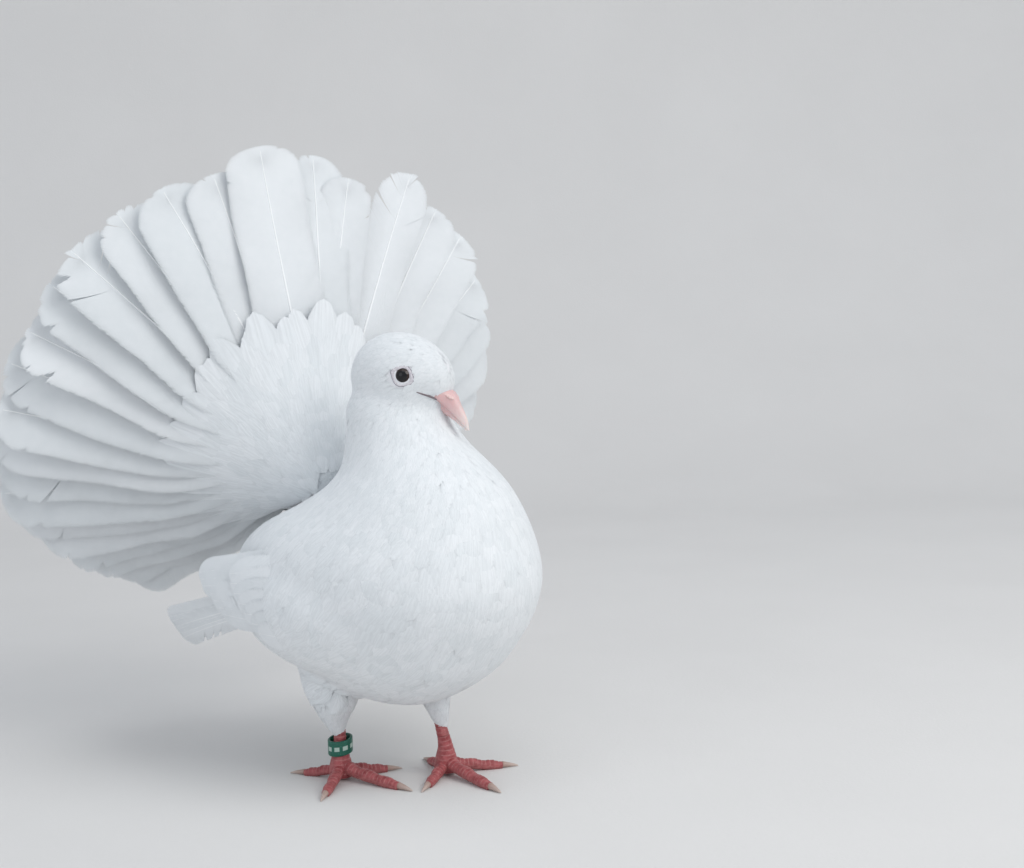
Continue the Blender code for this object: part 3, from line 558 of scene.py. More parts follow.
def chin_place(points):
    """The feathered chin that covers the root of the lower bill."""
    along, across, up = (points * (CHIN_HALF * MM)).T
    turned, lifted = nodded(along, up, CHIN_NOD)
    return head_point(CHIN_CENTRE[0] * MM + turned, across, CHIN_CENTRE[1] * MM + lifted)


def thigh_grid(side):
    sections = THIGH_SECTIONS[side]
    heights = np.linspace(sections[0][0], sections[-1][0], 34)
    sizes = spline(sections, heights) * MM
    turn = np.linspace(0, 2 * np.pi, 48, endpoint=False)
    x = FEET[side][0] + sizes[:, 2:3] + (sizes[:, :1] - THIGH_COAT) * np.cos(turn)
    y = FEET[side][1] + sizes[:, 3:4] + (sizes[:, 1:2] - THIGH_COAT) * np.sin(turn)
    z = np.broadcast_to((heights * MM)[:, None], x.shape)
    return closed_mesh("thigh", np.stack((x, y, z), -1))


def wing_sheet(y, z):
    """How far out the wing's face is from the middle of the body at a place on its side."""
    along = (y - WING_BULGE_Y) / (50.0 * MM)
    fall = np.where(along < 0, WING_FALL_FRONT, WING_FALL_BACK)
    down = (z - WING_MIDDLE_Z) / (30.0 * MM)
    return WING_BULGE - (fall * along**2 + WING_FALL_Z * down**2) * MM


def wing_grid(sign):
    """The folded arm under the wing's feathers: a lens on the body's side."""
    turn = np.linspace(0, 2 * np.pi, 72, endpoint=False)
    share = np.linspace(0, 1, 12)[:, None]
    swell = np.where(share < 1, np.cos(share * np.pi / 2) ** 0.5, 0.12)
    y = WING_CORE_CENTRE[0] + WING_CORE_HALF[0] * swell * np.cos(turn)
    z = WING_CORE_CENTRE[1] + WING_CORE_HALF[1] * swell * np.sin(turn)
    z = z * MM
    y = y * MM
    x = sign * (wing_sheet(y, z) - BODY_COAT - WING_CORE_DEPTH * (1 - share))
    return closed_mesh("arm", np.stack((x, y, z), -1))


def rump_place(points):
    """The root of the tail: a thick lens on the dish that every tail feather starts in."""
    for wide, tall, back in points.tolist():
        out, _, normal = fan_axes(math.atan2(wide, tall))
        thick = RUMP_THICK[0] if back < 0 else RUMP_THICK[1]
        yield FAN_ROOT + out * (math.hypot(wide, tall) * RUMP_REACH) + normal * (thick * back)


def joined(name, meshes):
    shape = bmesh.new()
    for mesh in meshes:
        shape.from_mesh(mesh)
        bpy.data.meshes.remove(mesh)
    mesh = bpy.data.meshes.new(name)
    shape.to_mesh(mesh)
    shape.free()
    return mesh


def evaluated(mesh, settings):
    """A mesh after modifiers, given as (type, {setting: value})."""
    item = bpy.data.objects.new(mesh.name, mesh)
    bpy.context.scene.collection.objects.link(item)
    for kind, values in settings:
        modifier = item.modifiers.new(kind, kind)
        for key, value in values.items():
            setattr(modifier, key, value)
    graph = bpy.context.evaluated_depsgraph_get()
    made = bpy.data.meshes.new_from_object(item.evaluated_get(graph))
    bpy.data.objects.remove(item)
    bpy.data.meshes.remove(mesh)
    return made


def united(mesh, others):
    """One closed surface from meshes that overlap, each part keeping its own finish."""
    items = [bpy.data.objects.new(part.name, part) for part in [mesh] + others]
    for item in items:
        bpy.context.scene.collection.objects.link(item)
    for other in items[1:]:
        join = items[0].modifiers.new("join", "BOOLEAN")
        join.operation = "UNION"
        join.solver = "MANIFOLD"
        join.material_mode = "TRANSFER"
        join.object = other
    bpy.context.view_layer.update()
    graph = bpy.context.evaluated_depsgraph_get()
    result = bpy.data.meshes.new_from_object(items[0].evaluated_get(graph))
    for item in items:
        data = item.data
        bpy.data.objects.remove(item)
        bpy.data.meshes.remove(data)
    return result


def skin_mesh():
    """Body, neck, head, thighs, folded arms and rump as one smooth closed surface."""
    round_parts = (("head", 96, 64, head_place), ("chin", 40, 24, chin_place), ("rump", 64, 32, rump_place))
    meshes = [body_grid()] + [sphere_mesh(*part)[0] for part in round_parts]
    meshes += [thigh_grid(side) for side in FEET]
    meshes += [wing_grid(sign) for sign in SIDES.values()]
    remesh = ("REMESH", {"mode": "VOXEL", "voxel_size": SKIN_VOXEL, "use_smooth_shade": True})
    smooth = ("SMOOTH", {"factor": 0.5, "iterations": SKIN_SMOOTHING})
    return evaluated(joined("skin", meshes), [remesh, smooth])


class Surface:
    """A mesh that feathers are laid on: nearest places with smooth normals, and random places."""

    def __init__(self, mesh):
        mesh.calc_loop_triangles()
        self.points = np.empty(len(mesh.vertices) * 3, np.float32)
        mesh.vertices.foreach_get("co", self.points)
        self.points = self.points.reshape(-1, 3).astype(float)
        normals = np.empty(len(mesh.vertices) * 3, np.float32)
        mesh.vertex_normals.foreach_get("vector", normals)
        self.normals = normals.reshape(-1, 3).astype(float)
        faces = np.empty(len(mesh.loop_triangles) * 3, np.int32)
        mesh.loop_triangles.foreach_get("vertices", faces)
        self.faces = faces.reshape(-1, 3)
        self.tree = BVHTree.FromPolygons(self.points.tolist(), self.faces.tolist())

    def lay(self, places):
        """Nearest surface point and smooth normal of each place."""
        shape = places.shape
        flat = places.reshape(-1, 3)
        spots = np.empty_like(flat)
        cells = np.empty(len(flat), np.int32)
        find = self.tree.find_nearest
        for index, place in enumerate(flat.tolist()):
            spot, _, cell, _ = find(place)
            spots[index] = spot
            cells[index] = cell
        return spots.reshape(shape), self.smooth_normal(spots, cells).reshape(shape)

    def drop(self, place, towards):
        """How far a place is from the surface along a direction."""
        spot, _, _, distance = self.tree.ray_cast(Vector(place), Vector(towards))
        return 3 * EYE_RADIUS if spot is None else distance

    def smooth_normal(self, spots, cells):
        corners = self.points[self.faces[cells]]
        first, second = corners[:, 1] - corners[:, 0], corners[:, 2] - corners[:, 0]
        offset = spots - corners[:, 0]
        pairs = ((first, first), (first, second), (second, second))
        a, b, c = (np.einsum("ij,ij->i", *pair) for pair in pairs)
        d, e = np.einsum("ij,ij->i", offset, first), np.einsum("ij,ij->i", offset, second)
        spread = np.maximum(a * c - b * b, 1e-24)
        v, w = (c * d - b * e) / spread, (a * e - b * d) / spread
        weights = np.clip(np.stack((1 - v - w, v, w), 1), 0.0, 1.0)
        return unit((self.normals[self.faces[cells]] * weights[..., None]).sum(1))

    def sample(self, count, chance):
        """Random places spread evenly by area, with their normals."""
        corners = self.points[self.faces]
        first, second = corners[:, 1] - corners[:, 0], corners[:, 2] - corners[:, 0]
        area = np.linalg.norm(np.cross(first, second), axis=1)
        cells = chance.choice(len(area), count, p=area / area.sum())
        u, v = chance.random(count), chance.random(count)
        flip = u + v > 1
        u[flip], v[flip] = 1 - u[flip], 1 - v[flip]
        spots = corners[cells, 0] + first[cells] * u[:, None] + second[cells] * v[:, None]
        return spots, self.smooth_normal(spots, cells)


# Lie of the coat


def head_frame(points):
    """Distances forward, to the left and up from the head's centre."""
    along, across, up = head_axes()
    away = points - HEAD_CENTRE
    return away @ along, away @ across, away @ up


def on_head(points):
    """1 on the head, falling to 0 down the neck."""
    return smooth_step(points[:, 2], 147.0 * MM, 160.0 * MM)


def lie_of(points, normals):
    """Direction in which the feathers lie at each place, tangent to the skin."""
    x, y, z = points.T
    ones = np.ones_like(x)
    rear = smooth_step(y, 22.0 * MM, 52.0 * MM)[:, None]
    low = smooth_step(-z, -100.0 * MM, -45.0 * MM)
    back_share = 0.22 + 1.1 * low + 0.35 * smooth_step(np.abs(x), 10.0 * MM, 45.0 * MM)
    front = np.stack((0.12 * np.sign(x) * smooth_step(np.abs(x), 0.0, 30.0 * MM), back_share, -ones), 1)
    behind = np.stack((0.0 * ones, 0.6 * ones, 0.8 * ones), 1)
    flow = front * (1 - rear) + behind * rear
    thigh = thigh_share(points)[:, None]
    flow = flow * (1 - thigh) + np.array((0.0, 0.12, -1.0)) * thigh
    along, _, _ = head_axes()
    forward, _, rise = head_frame(points)
    head_flow = -along * 0.95 + np.array((0.0, 0.0, -0.42))
    throat = (smooth_step(-rise, 4.0 * MM, 12.0 * MM) * smooth_step(forward, -2.0 * MM, 8.0 * MM))[:, None]
    head_flow = head_flow * (1 - throat) + (np.array((0.0, 0.0, -1.0)) - along * 0.5) * throat
    share = on_head(points)[:, None]
    flow = flow * (1 - share) + head_flow * share
    flow -= normals * np.einsum("ij,ij->i", flow, normals)[:, None]
    return unit(flow)


def thigh_share(points):
    """1 on the thighs below the belly, else 0."""
    share = np.zeros(len(points))
    for foot in FEET.values():
        away = np.linalg.norm(points[:, :2] - foot[:2] - np.array((0.0, 1.5)) * MM, axis=1)
        below = smooth_step(-points[:, 2], -44.0 * MM, -38.0 * MM)
        share = np.maximum(share, smooth_step(-away, -15.0 * MM, -12.0 * MM) * below)
    return share


def feather_sizes(points):
    """Length, half width, spacing, tip height and sink of the edges at each place, in metres."""
    z = points[:, 2] / MM
    sizes = np.stack([np.interp(z, COAT_SIZES[:, 0], column) for column in COAT_SIZES.T[1:]], 1) * MM
    forward, _, _ = head_frame(points)
    face = (smooth_step(forward, 4.0 * MM, 17.0 * MM) * on_head(points))[:, None]
    sizes = sizes * (1 - face * FACE_SHRINK)
    from_tail = np.linalg.norm(points - FAN_ROOT, axis=1)
    fold = smooth_step(-from_tail, -46.0 * MM, -26.0 * MM)[:, None]
    thigh = thigh_share(points)[:, None]
    sizes = sizes * (1 - fold * TAIL_ROOT_SHRINK)
    return sizes * (1 - thigh * THIGH_SHRINK)


def bake_place(points):
    """Place of each point on an unwrap of the skin: round the body by its height, legs below."""
    x, y, z = points.T
    sections = np.array(BODY_SECTIONS)
    centre = np.interp(z / MM, sections[:, 0], sections[:, 3]) * MM
    around = np.arctan2(x, centre - y) / (2 * np.pi) + 0.5
    base = COAT_BASE_Z * MM
    height = MAP_FOOT + (1 - MAP_FOOT) * np.clip(z - base, 0, None) / (MAP_TOP_Z - base)
    thigh = thigh_share(points) > 0.5
    nearest = np.min([flat_distance(points, foot) for foot in FEET.values()], axis=0)
    for order, foot in enumerate(FEET.values()):
        away = flat_distance(points, foot)
        near = thigh & (away < 22.0 * MM)
        turn = np.arctan2(x - foot[0], foot[1] - y) / (2 * np.pi) + 0.5
        around = np.where(near, 0.05 + 0.4 * turn + 0.5 * order, around)
        height = np.where(near, 0.12 + 0.1 * z / (50.0 * MM), height)
        paw = (z < 1.5 * ANKLE_Z) & (away < 45.0 * MM) & (away <= nearest)
        around = np.where(paw, 0.02 + 0.46 * (0.5 + (x - foot[0]) / (90.0 * MM)) + 0.5 * order, around)
        height = np.where(paw, 0.11 * (0.5 + (y - foot[1]) / (90.0 * MM)), height)
    return np.stack((around * 0.98 + 0.01, height * 0.98 + 0.01), 1)


def scatter(surface, chance, keep, sized=feather_sizes):
    """Places for small feathers, spaced as their size asks, where keep allows."""
    spots, normals = surface.sample(SCATTER_TRIES, chance)
    allowed = keep(spots, normals)
    spots, normals = spots[allowed], normals[allowed]
    spacing = sized(spots)[:, 2]
    cells = np.floor(spots / SCATTER_CELL).astype(int)
    steps = list(itertools.product((-1, 0, 1), repeat=3))
    taken, chosen = {}, []
    tries = zip(spots.tolist(), cells.tolist(), spacing.tolist())
    for index, ((x, y, z), (i, j, k), space) in enumerate(tries):
        reach = space * space
        near = (taken.get((i + a, j + b, k + c), ()) for a, b, c in steps)
        if not any((x - a) ** 2 + (y - b) ** 2 + (z - c) ** 2 < reach for a, b, c in itertools.chain(*near)):
            taken.setdefault((i, j, k), []).append((x, y, z))
            chosen.append(index)
    return spots[chosen], normals[chosen]


def coat_arrays(surface, spots, normals, flow, sizes, on_map, chance, fringe=0.1):
    """Points, faces and maps of small feathers laid on the skin like shingles."""
    count = len(spots)
    swing = chance.normal(0.0, FEATHER_SWING, count)[:, None]
    side = np.cross(normals, flow)
    flow = unit(flow * np.cos(swing) + side * np.sin(swing))
    side = np.cross(normals, flow)
    rows, columns = len(FEATHER_ROWS), FEATHER_COLUMNS
    u = FEATHER_ROWS[None, :, None]
    v = np.linspace(-1, 1, columns)[None, None, :]
    length = (sizes[:, 0] * chance.uniform(0.86, 1.14, count))[:, None, None]
    width = (sizes[:, 1] * chance.uniform(0.85, 1.15, count))[:, None, None]
    notch = chance.random((count, 1, columns)) * fringe + 0.5 * fringe * (np.arange(columns) % 2)
    along = u - 0.26 * v**2 * u**2 - notch * u**6
    spread = 0.34 + 0.66 * smooth_step(u, 0.0, 0.62)
    spread = spread * (1 - 0.18 * smooth_step(u, 0.7, 1.0))
    across = v * spread
    places = (
        spots[:, None, None]
        + flow[:, None, None] * (length * along)[..., None]
        + side[:, None, None] * (width * across)[..., None]
    )
    base, up = surface.lay(places)
    top = (sizes[:, 3] * chance.uniform(0.96, 1.04, count))[:, None, None]
    sink = sizes[:, 4][:, None, None]
    risen = smooth_step(along, 0.0, 0.4)
    height = top * ((1 + ROOT_DEPTH - SHINGLE_SLOPE) * risen - ROOT_DEPTH + SHINGLE_SLOPE * along)
    rim = 1 - (1 - smooth_step(u, 0.8, 1.0)) * (1 - np.abs(v) ** 3)
    height = height - sink * rim * risen
    points = base + up * height[..., None]
    sound = np.einsum("irsk,ik->irs", up, normals).min((1, 2)) > 0.2
    for axis in (1, 2):
        laid, flat = (np.linalg.norm(np.diff(grid, axis=axis), axis=-1) for grid in (points, places))
        sound &= ((laid - 0.4 * MM) / (flat + 0.1 * MM)).max((1, 2)) < STRETCH
    points, up, on_map, count = points[sound], up[sound], on_map[sound], int(sound.sum())
    patch = np.broadcast_to(on_map[:, None, None], (count, rows, columns, 2)).copy()
    patch[..., 0] += PATCH * (np.broadcast_to(v, (1, rows, columns)) * 0.5)
    patch[..., 1] -= PATCH * (u - 0.5)
    barbs = np.empty((count, rows, columns, 2))
    barbs[..., 0] = v
    barbs[..., 1] = u
    tone = np.broadcast_to(chance.random(count)[:, None, None], (count, rows, columns))
    quad = grid_cells(rows, columns)
    faces = (np.arange(count)[:, None, None] * rows * columns + quad[None]).reshape(-1, 4)
    return {
        "points": points.reshape(-1, 3),
        "faces": faces,
        "OFBake": patch.reshape(-1, 2),
        "barbs": barbs.reshape(-1, 2),
        "tone": tone.ravel(),
        "up": up.reshape(-1, 3),
    }


def feather_mesh(name, arrays, softness=SOFTNESS):
    """A mesh of feathers; where the way up is given, they are shaded as one soft surface."""
    mesh = mesh_of(name, arrays["points"], arrays["faces"])
    if "up" in arrays:
        mesh.shade_smooth()
        own = np.empty(len(arrays["points"]) * 3, np.float32)
        mesh.vertex_normals.foreach_get("vector", own)
        z = arrays["points"][:, 2:]
        neck = smooth_step(z, 108.0 * MM, 124.0 * MM) * smooth_step(-z, -166.0 * MM, -150.0 * MM)
        soft = softness - NECK_RELIEF * neck
        soft = unit(own.reshape(-1, 3) * (1 - soft) + arrays["up"] * soft)
        mesh.normals_split_custom_set_from_vertices(soft.tolist())
    set_map(mesh, "OFBake", arrays["OFBake"])
    set_map(mesh, "barbs", arrays["barbs"])
    set_number(mesh, "tone", arrays["tone"])
    return mesh


def merged(parts):
    """Feather arrays put together as one."""
    offsets = np.cumsum([0] + [len(part["tone"]) for part in parts[:-1]])
    whole = {key: np.concatenate([part[key] for part in parts]) for key in parts[0] if key != "faces"}
    whole["faces"] = np.concatenate([part["faces"] + offset for part, offset in zip(parts, offsets)])
    return whole


# Large feathers


def vane_outline(share, root, full, tip):
    """Half width of a large feather along its length, as a share of the widest."""
    rise = smooth_step(share, 0.12, full)
    close = np.clip((share - tip) / (1.0 - tip), 0.0, 1.0)
    return (root + (1 - root) * rise) * (1 - close**2.8) ** 0.5


def large_feather(length, half_width, barbs, chance, look):
    """One large feather in its own plane: its barbs as tapered strips, and its shaft.

    Returns arrays of places along, across and in front, all in metres, with faces and maps.
    """
    q, outline = BARB_STEPS, look["outline"]
    rows = q.size
    roots = np.linspace(VANE_START, 0.998, 400)
    ends = np.minimum(roots + BARB_SLANT * (1 - roots) ** 0.35, 1.0)
    rim = np.stack((ends * length, vane_outline(ends, *outline) * half_width), 1)
    walked = np.concatenate(([0.0], np.cumsum(np.linalg.norm(np.diff(rim, axis=0), axis=1))))
    borders = np.interp(np.linspace(0, walked[-1], barbs + 1), walked, roots)
    parts = []
    tone = chance.random()
    for side in (-1.0, 1.0):
        ripple = np.sin(np.linspace(0, 1, barbs) * chance.uniform(9, 16) + chance.uniform(0, 6))
        trim = 1.0 + look["ragged"] * (0.25 * chance.normal(0.0, 1.0, barbs) + 0.6 * ripple)
        notches = np.round(chance.uniform(0.78, 1.0, look["notches"]) * barbs)
        for notch, deep, near in zip(notches, chance.uniform(0.3, 1.0, 9), chance.uniform(0.6, 2.2, 9)):
            trim = trim - look["notch"] * deep * np.exp(-(((np.arange(barbs) - notch) / near) ** 2))
        trim = np.clip(trim, 0.4, 1.08)[:, None]
        centres = np.round(chance.uniform(look["firm"], 1.0, look["splits"]) ** 0.6 * barbs)
        gaps = chance.uniform(0.3, 1.0, len(centres)) * look["gap"]
        reaches = chance.uniform(4.0, 9.0, len(centres))
        if "parted" in look:
            centres = np.round(np.array(look["parted"]) * barbs)
            gaps, reaches = np.full(len(centres), (1 - side) / 2 * look["gap"]), np.full(len(centres), 3.0)
        lifts = chance.uniform(0.2, 1.0, len(centres)) * gaps.max(initial=0.0) * 0.5
        edges = []
        for border, inner in ((0, 0.01), (1, 0.99)):
            x = borders[border : barbs + border][:, None]
            x_end = np.minimum(x + BARB_SLANT * (1 - x) ** 0.35, 1.0)
            shift, curl = np.zeros(barbs), np.zeros(barbs)
            for centre, gap, near, lift in zip(centres, gaps, reaches, lifts):
                away = np.arange(barbs) + inner - centre
                fade = np.sign(away) * np.exp(-np.abs(away) / near)
                shift += gap * fade
                curl += lift * fade
            cut = q * trim
            wide = np.maximum(vane_outline(x_end, *outline) * half_width, 0.4 * MM)
            along = (x + (x_end - x) * cut**1.25) * length + shift[:, None] * cut**2
            edges.append((along, wide * cut, curl[:, None] * cut**3))
        taper = BARB_TAPER * smooth_step(q, 0.9, 1.0)
        low, high = edges
        along, across, raised = (np.stack((a, b + (a - b) * taper), -1) for a, b in zip(low, high))
        flap = look["flutter"] * np.sin(along / length * chance.uniform(16, 30) + chance.uniform(0, 6))
        rim = (across / half_width) ** 2
        front = look["bow"] * (1 - rim) + flap * rim * smooth_step(along / length, 0.3, 0.7) + raised
        front = front + 0.03 * MM * chance.normal(0.0, 1.0, (barbs, 1, 1)) * q[..., None]
        index = np.arange(barbs)[:, None] * rows * 2 + np.arange(rows - 1)[None, :] * 2
        index = index.ravel()
        quad = np.stack((index, index + 2, index + 3, index + 1), 1)
        if side < 0:
            quad = quad[:, ::-1]
        v = np.broadcast_to((np.arange(barbs)[:, None, None] + np.array((0.0, 1.0))), across.shape)
        u = np.broadcast_to(q[..., None], across.shape)
        parts.append(
            {
                "along": along.ravel(),
                "across": (side * across).ravel(),
                "front": front.ravel(),
                "barbs": np.stack((u, v), -1).reshape(-1, 2),
                "tone": np.full(across.size, tone),
                "faces": quad,
            }
        )
    parts.append(shaft_arrays(length, look, chance))
    return merged(parts)


def shaft_arrays(length, look, chance):
    """The shaft: a thin tapered rod a little proud of both faces."""
    sides, steps = 6, 14
    share = np.linspace(-0.01, 0.985, steps)
    radius = look["shaft"] * (1 - share * 0.86) + 0.06 * MM
    turn = 2 * np.pi * np.arange(sides) / sides
    along = np.repeat(share * length, sides)
    across = (radius[:, None] * np.cos(turn)).ravel()
    front = (radius[:, None] * np.sin(turn) * 0.8).ravel() + look["bow"]
    u = np.full(len(along), -1.0)
    return {
        "along": along,
        "across": across,
        "front": front,
        "barbs": np.stack((u, np.zeros_like(u)), -1),
        "tone": np.full(len(along), chance.random()),
        "faces": grid_cells(steps, sides, closed=True),
    }


def fan_axes(angle):
    """Outward direction, sideways direction and back normal of the dish at an angle from its top."""
    up = np.array((0.0, math.sin(FAN_LEAN), math.cos(FAN_LEAN)))
    back = np.array((0.0, math.cos(FAN_LEAN), -math.sin(FAN_LEAN)))
    wide = np.array((1.0, 0.0, 0.0))
    sweep = FAN_SWEEP_TOP + FAN_SWEEP_RANGE * (1 - math.cos(angle)) / 2
    flat = up * math.cos(angle) + wide * math.sin(angle)
    out = flat * math.cos(sweep) + back * math.sin(sweep)
    normal = back * math.cos(sweep) - flat * math.sin(sweep)
    across = unit(np.cross(out, normal))
    if across @ (wide * math.cos(angle) - up * math.sin(angle)) < 0:
        across = -across
    cosine, sine = math.cos(FAN_YAW), math.sin(FAN_YAW)

    def yawed(vector):
        x, y, z = vector
        return np.array((x * cosine - y * sine, x * sine + y * cosine, z))

    return yawed(out), yawed(across), yawed(normal)


def fan_feather(angle, length, half_width, lift, tilt, twist, barbs, chance, look, order, total):
    """A large feather laid on the dish, its place in the bake map in a cell of its own."""
    arrays = large_feather(length, half_width, barbs, chance, look)
    out, across, normal = fan_axes(angle)
    share = arrays["along"] / length
    outward_sign = 1.0 if angle >= 0 else -1.0
    bend = look["bend"] * share**2
    lean = tilt + twist * share**2
    wave = FAN_WAVE * share**2 * np.sin(3.1 * angle + 2.2 * share)
    rise = wave - lift - lean * arrays["across"] * outward_sign - arrays["front"]
    rise = rise + look["recurve"] * share**4
    sideways = arrays["across"] + bend
    along = out * arrays["along"][:, None]
    points = FAN_ROOT + along + across * sideways[:, None] + normal * rise[:, None]
    return laid(arrays, points, share, half_width, order, total)


def laid(arrays, points, share, half_width, order, total):
    """A large feather at its points, with a cell of its own in the bake map."""
    cell_u = (order + 0.5 + 0.42 * arrays["across"] / half_width) / total
    cell_v = 0.03 + 0.92 * np.clip(share, 0, 1)
    kept = {key: arrays[key] for key in ("faces", "barbs", "tone")}
    return {"points": points, "OFBake": np.stack((cell_u, cell_v), 1), **kept}


def build_tail(vane):
    chance = np.random.default_rng(TAIL_SEED)
    parts = []
    total = len(RECTRICES)
    for order, (angle, length, width, lift, twist, wear) in enumerate(RECTRICES):
        look = {
            "outline": (0.26, 0.52, chance.uniform(0.87, 0.925)),
            "splits": int(wear * 2.4 * chance.random() + 0.2),
            "notches": int(wear * 6.0 * chance.random() + 0.8),
            "notch": 0.1 + 0.3 * wear,
            "ragged": 0.018 + 0.045 * wear,
            "gap": 1.2 * MM,
            "firm": 0.62,
            "bend": chance.uniform(-2.5, 2.5) * MM,
            "recurve": chance.uniform(-3.0, 2.0) * MM,
            "bow": 0.6 * MM,
            "shaft": 0.85 * MM,
            "flutter": chance.uniform(0.25, 1.0) * MM,
        }
        parts.append(
            fan_feather(
                math.radians(angle), length * MM, FAN_HALF_WIDTH * width, FAN_LAYERING * lift * MM, FAN_TILT,
                math.radians(twist), RECTRIX_BARBS, chance, look, order, total,
            )
        )
    half = total // 2
    for name, group in (("right", parts[:half]), ("left", parts[half:])):
        mesh = feather_mesh(f"rectrices_{name}", merged(group))
        replaced = ("tail",) if name == "right" else ()
        add_piece(f"rectrices_{name}", mesh, vane, replaced)


def covert_bed(at_root, beyond, reach):
    """The dish-shaped bed under the coverts of one face of the fan, and the way out on it."""
    turns = np.linspace(-COVERT_SPREAD, COVERT_SPREAD, 140)
    radii = np.concatenate(([0.5], np.arange(3.0, 96.0, 3.0))) * MM
    off = at_root + (beyond - at_root) * smooth_step(radii, 4.0 * MM, reach * MM)
    places = []
    for turn in turns:
        out, _, normal = fan_axes(turn)
        places.append(FAN_ROOT + radii[:, None] * out + off[:, None] * MM * normal)
    places = np.array(places)
    faces = grid_cells(len(turns), len(radii))[:, (0, 3, 2, 1)]
    mesh = mesh_of("bed", places.reshape(-1, 3), faces)
    towards = mesh.vertex_normals[len(mesh.vertices) // 2].vector @ Vector(fan_axes(0.0)[2])
    if towards * at_root < 0:
        mesh.flip_normals()
    return mesh


def build_tail_coverts(skin_surface, down):
    """Soft coverts over the root of the fan, blending the rump into the tail feathers."""
    for name, (at_root, beyond, reach, last, seed) in COVERTS.items():
        chance = np.random.default_rng(seed)
        bed = Surface(covert_bed(at_root, beyond, reach))
        ragged = chance.uniform(0.0, 1.0, 64)

        def on_bed(points, _):
            away = points - FAN_ROOT
            turn = np.arctan2(away[:, 0], away[:, 2])
            edge = last + 12.0 * ragged[np.floor((turn + math.pi) * 10).astype(int)]
            return np.linalg.norm(away, axis=1) < edge * MM

        spots, normals = scatter(bed, chance, on_bed, covert_sizes)
        away = spots - FAN_ROOT
        nearest, outside = skin_surface.lay(spots)
        clear = np.einsum("ij,ij->i", spots - nearest, outside) > -14.0 * MM
        spots, normals, away = spots[clear], normals[clear], away[clear]
        flow = away + np.array((0.0, 0.0, 6.0)) * MM
        flow = unit(flow - normals * np.einsum("ij,ij->i", flow, normals)[:, None])
        cells = 0.5 + away[:, (0, 2)] / (260.0 * MM)
        arrays = coat_arrays(bed, spots, normals, flow, covert_sizes(spots), cells, chance, COVERT_FRINGE)
        mesh = feather_mesh(f"tail_coverts_{name}", arrays, COVERT_SOFTNESS)
        add_piece(f"tail_coverts_{name}", mesh, down)


def covert_sizes(points):
    share = smooth_step(np.linalg.norm(points - FAN_ROOT, axis=1), 8.0 * MM, 46.0 * MM)[:, None]
    return COVERT_NEAR + (COVERT_FAR - COVERT_NEAR) * share


def build_wing(side, sign, vane):
    chance = np.random.default_rng(WING_SEED)
    parts = []
    total = sum(tier[1] for tier in WING_TIERS)
    order = 0
    for kind, count, low_root, high_root, low_tip, high_tip, half_width, lift in WING_TIERS:
        for index in range(count):
            share = index / (count - 1)
            start = np.array(low_root) + (np.array(high_root) - low_root) * share
            end = np.array(low_tip) + (np.array(high_tip) - low_tip) * share
            end = end + (chance.uniform(-2.0, 2.0), 0.0)
            look = {
                "outline": (0.4, 0.45, WING_TIPS[kind]),
                "splits": 0,
                "firm": 0.3,
                "notches": 0,
                "notch": 0.2,
                "flutter": 0.0,
                "ragged": 0.02,
                "gap": 1.1 * MM,
                "bow": 0.35 * MM,
                "shaft": 0.12 * MM,
            }
            if kind == "primary" and index == 0:
                look["parted"] = WING_PARTINGS
            ends = (start * MM, end * MM)
            parts.append(wing_feather(sign, *ends, half_width * MM, lift * MM, chance, look, order, total))
            order += 1
    mesh = feather_mesh(f"wing_feathers_{side}", merged(parts), WING_SOFTNESS)
    add_piece(f"wing_feathers_{side}", mesh, vane, (f"wing_{side}",))


def wing_feather(sign, start, end, half_width, lift, chance, look, order, total):
    """A feather on the wing's face from its root to its tip, given along the side as (y, z)."""
    length = float(np.linalg.norm(end - start))
    barbs = max(24, int(length / WING_BARB))
    arrays = large_feather(length, half_width, barbs, chance, look)
    line = (end - start) / length
    share = arrays["along"] / length
    y = start[0] + line[0] * arrays["along"] - line[1] * arrays["across"]
    z = start[1] + line[1] * arrays["along"] + line[0] * arrays["across"]
    ease = smooth_step(share, 0.2, 0.85)
    rise = WING_ROOT_SUNK + (lift - WING_ROOT_SUNK) * ease
    rise = rise + WING_TILT * arrays["across"] + arrays["front"] - look["bow"]
    points = np.stack((sign * (wing_sheet(y, z) + rise), y, z), 1)
    step = 0.1 * MM
    slopes = [(wing_sheet(y + a, z + b) - wing_sheet(y, z)) / step for a, b in ((step, 0.0), (0.0, step))]
    feather = laid(arrays, points, share, half_width, order, total)
    if sign > 0:
        feather["faces"] = feather["faces"][:, ::-1]
    feather["up"] = unit(np.stack((np.full(len(y), sign), -slopes[0], -slopes[1]), 1))
    return feather


# Materials


def plumage_white():
    """The mottled white that every feather shares: Tone is the feather's own, Scale its mottling."""
    if "plumage_white" in bpy.data.node_groups:
        return bpy.data.node_groups["plumage_white"]
    group = bpy.data.node_groups.new("plumage_white", "ShaderNodeTree")
    for name, value in (("Tone", 0.5), ("Scale", 120.0)):
        group.interface.new_socket(name, in_out="INPUT", socket_type="NodeSocketFloat").default_value = value
    group.interface.new_socket("Color", in_out="OUTPUT", socket_type="NodeSocketColor")
    entry, leave = group.nodes.new("NodeGroupInput"), group.nodes.new("NodeGroupOutput")
    mottling = add_noise(group, 120.0, 4.0)
    group.links.new(entry.outputs["Scale"], mottling.node.inputs["Scale"])
    share = group.nodes.new("ShaderNodeMix")
    share.inputs[0].default_value = 0.5
    group.links.new(entry.outputs["Tone"], share.inputs[2])
    group.links.new(mottling, share.inputs[3])
    group.links.new(add_mix(group, share.outputs[0], PLUMAGE_SHADE, PLUMAGE_WHITE), leave.inputs["Color"])
    return group


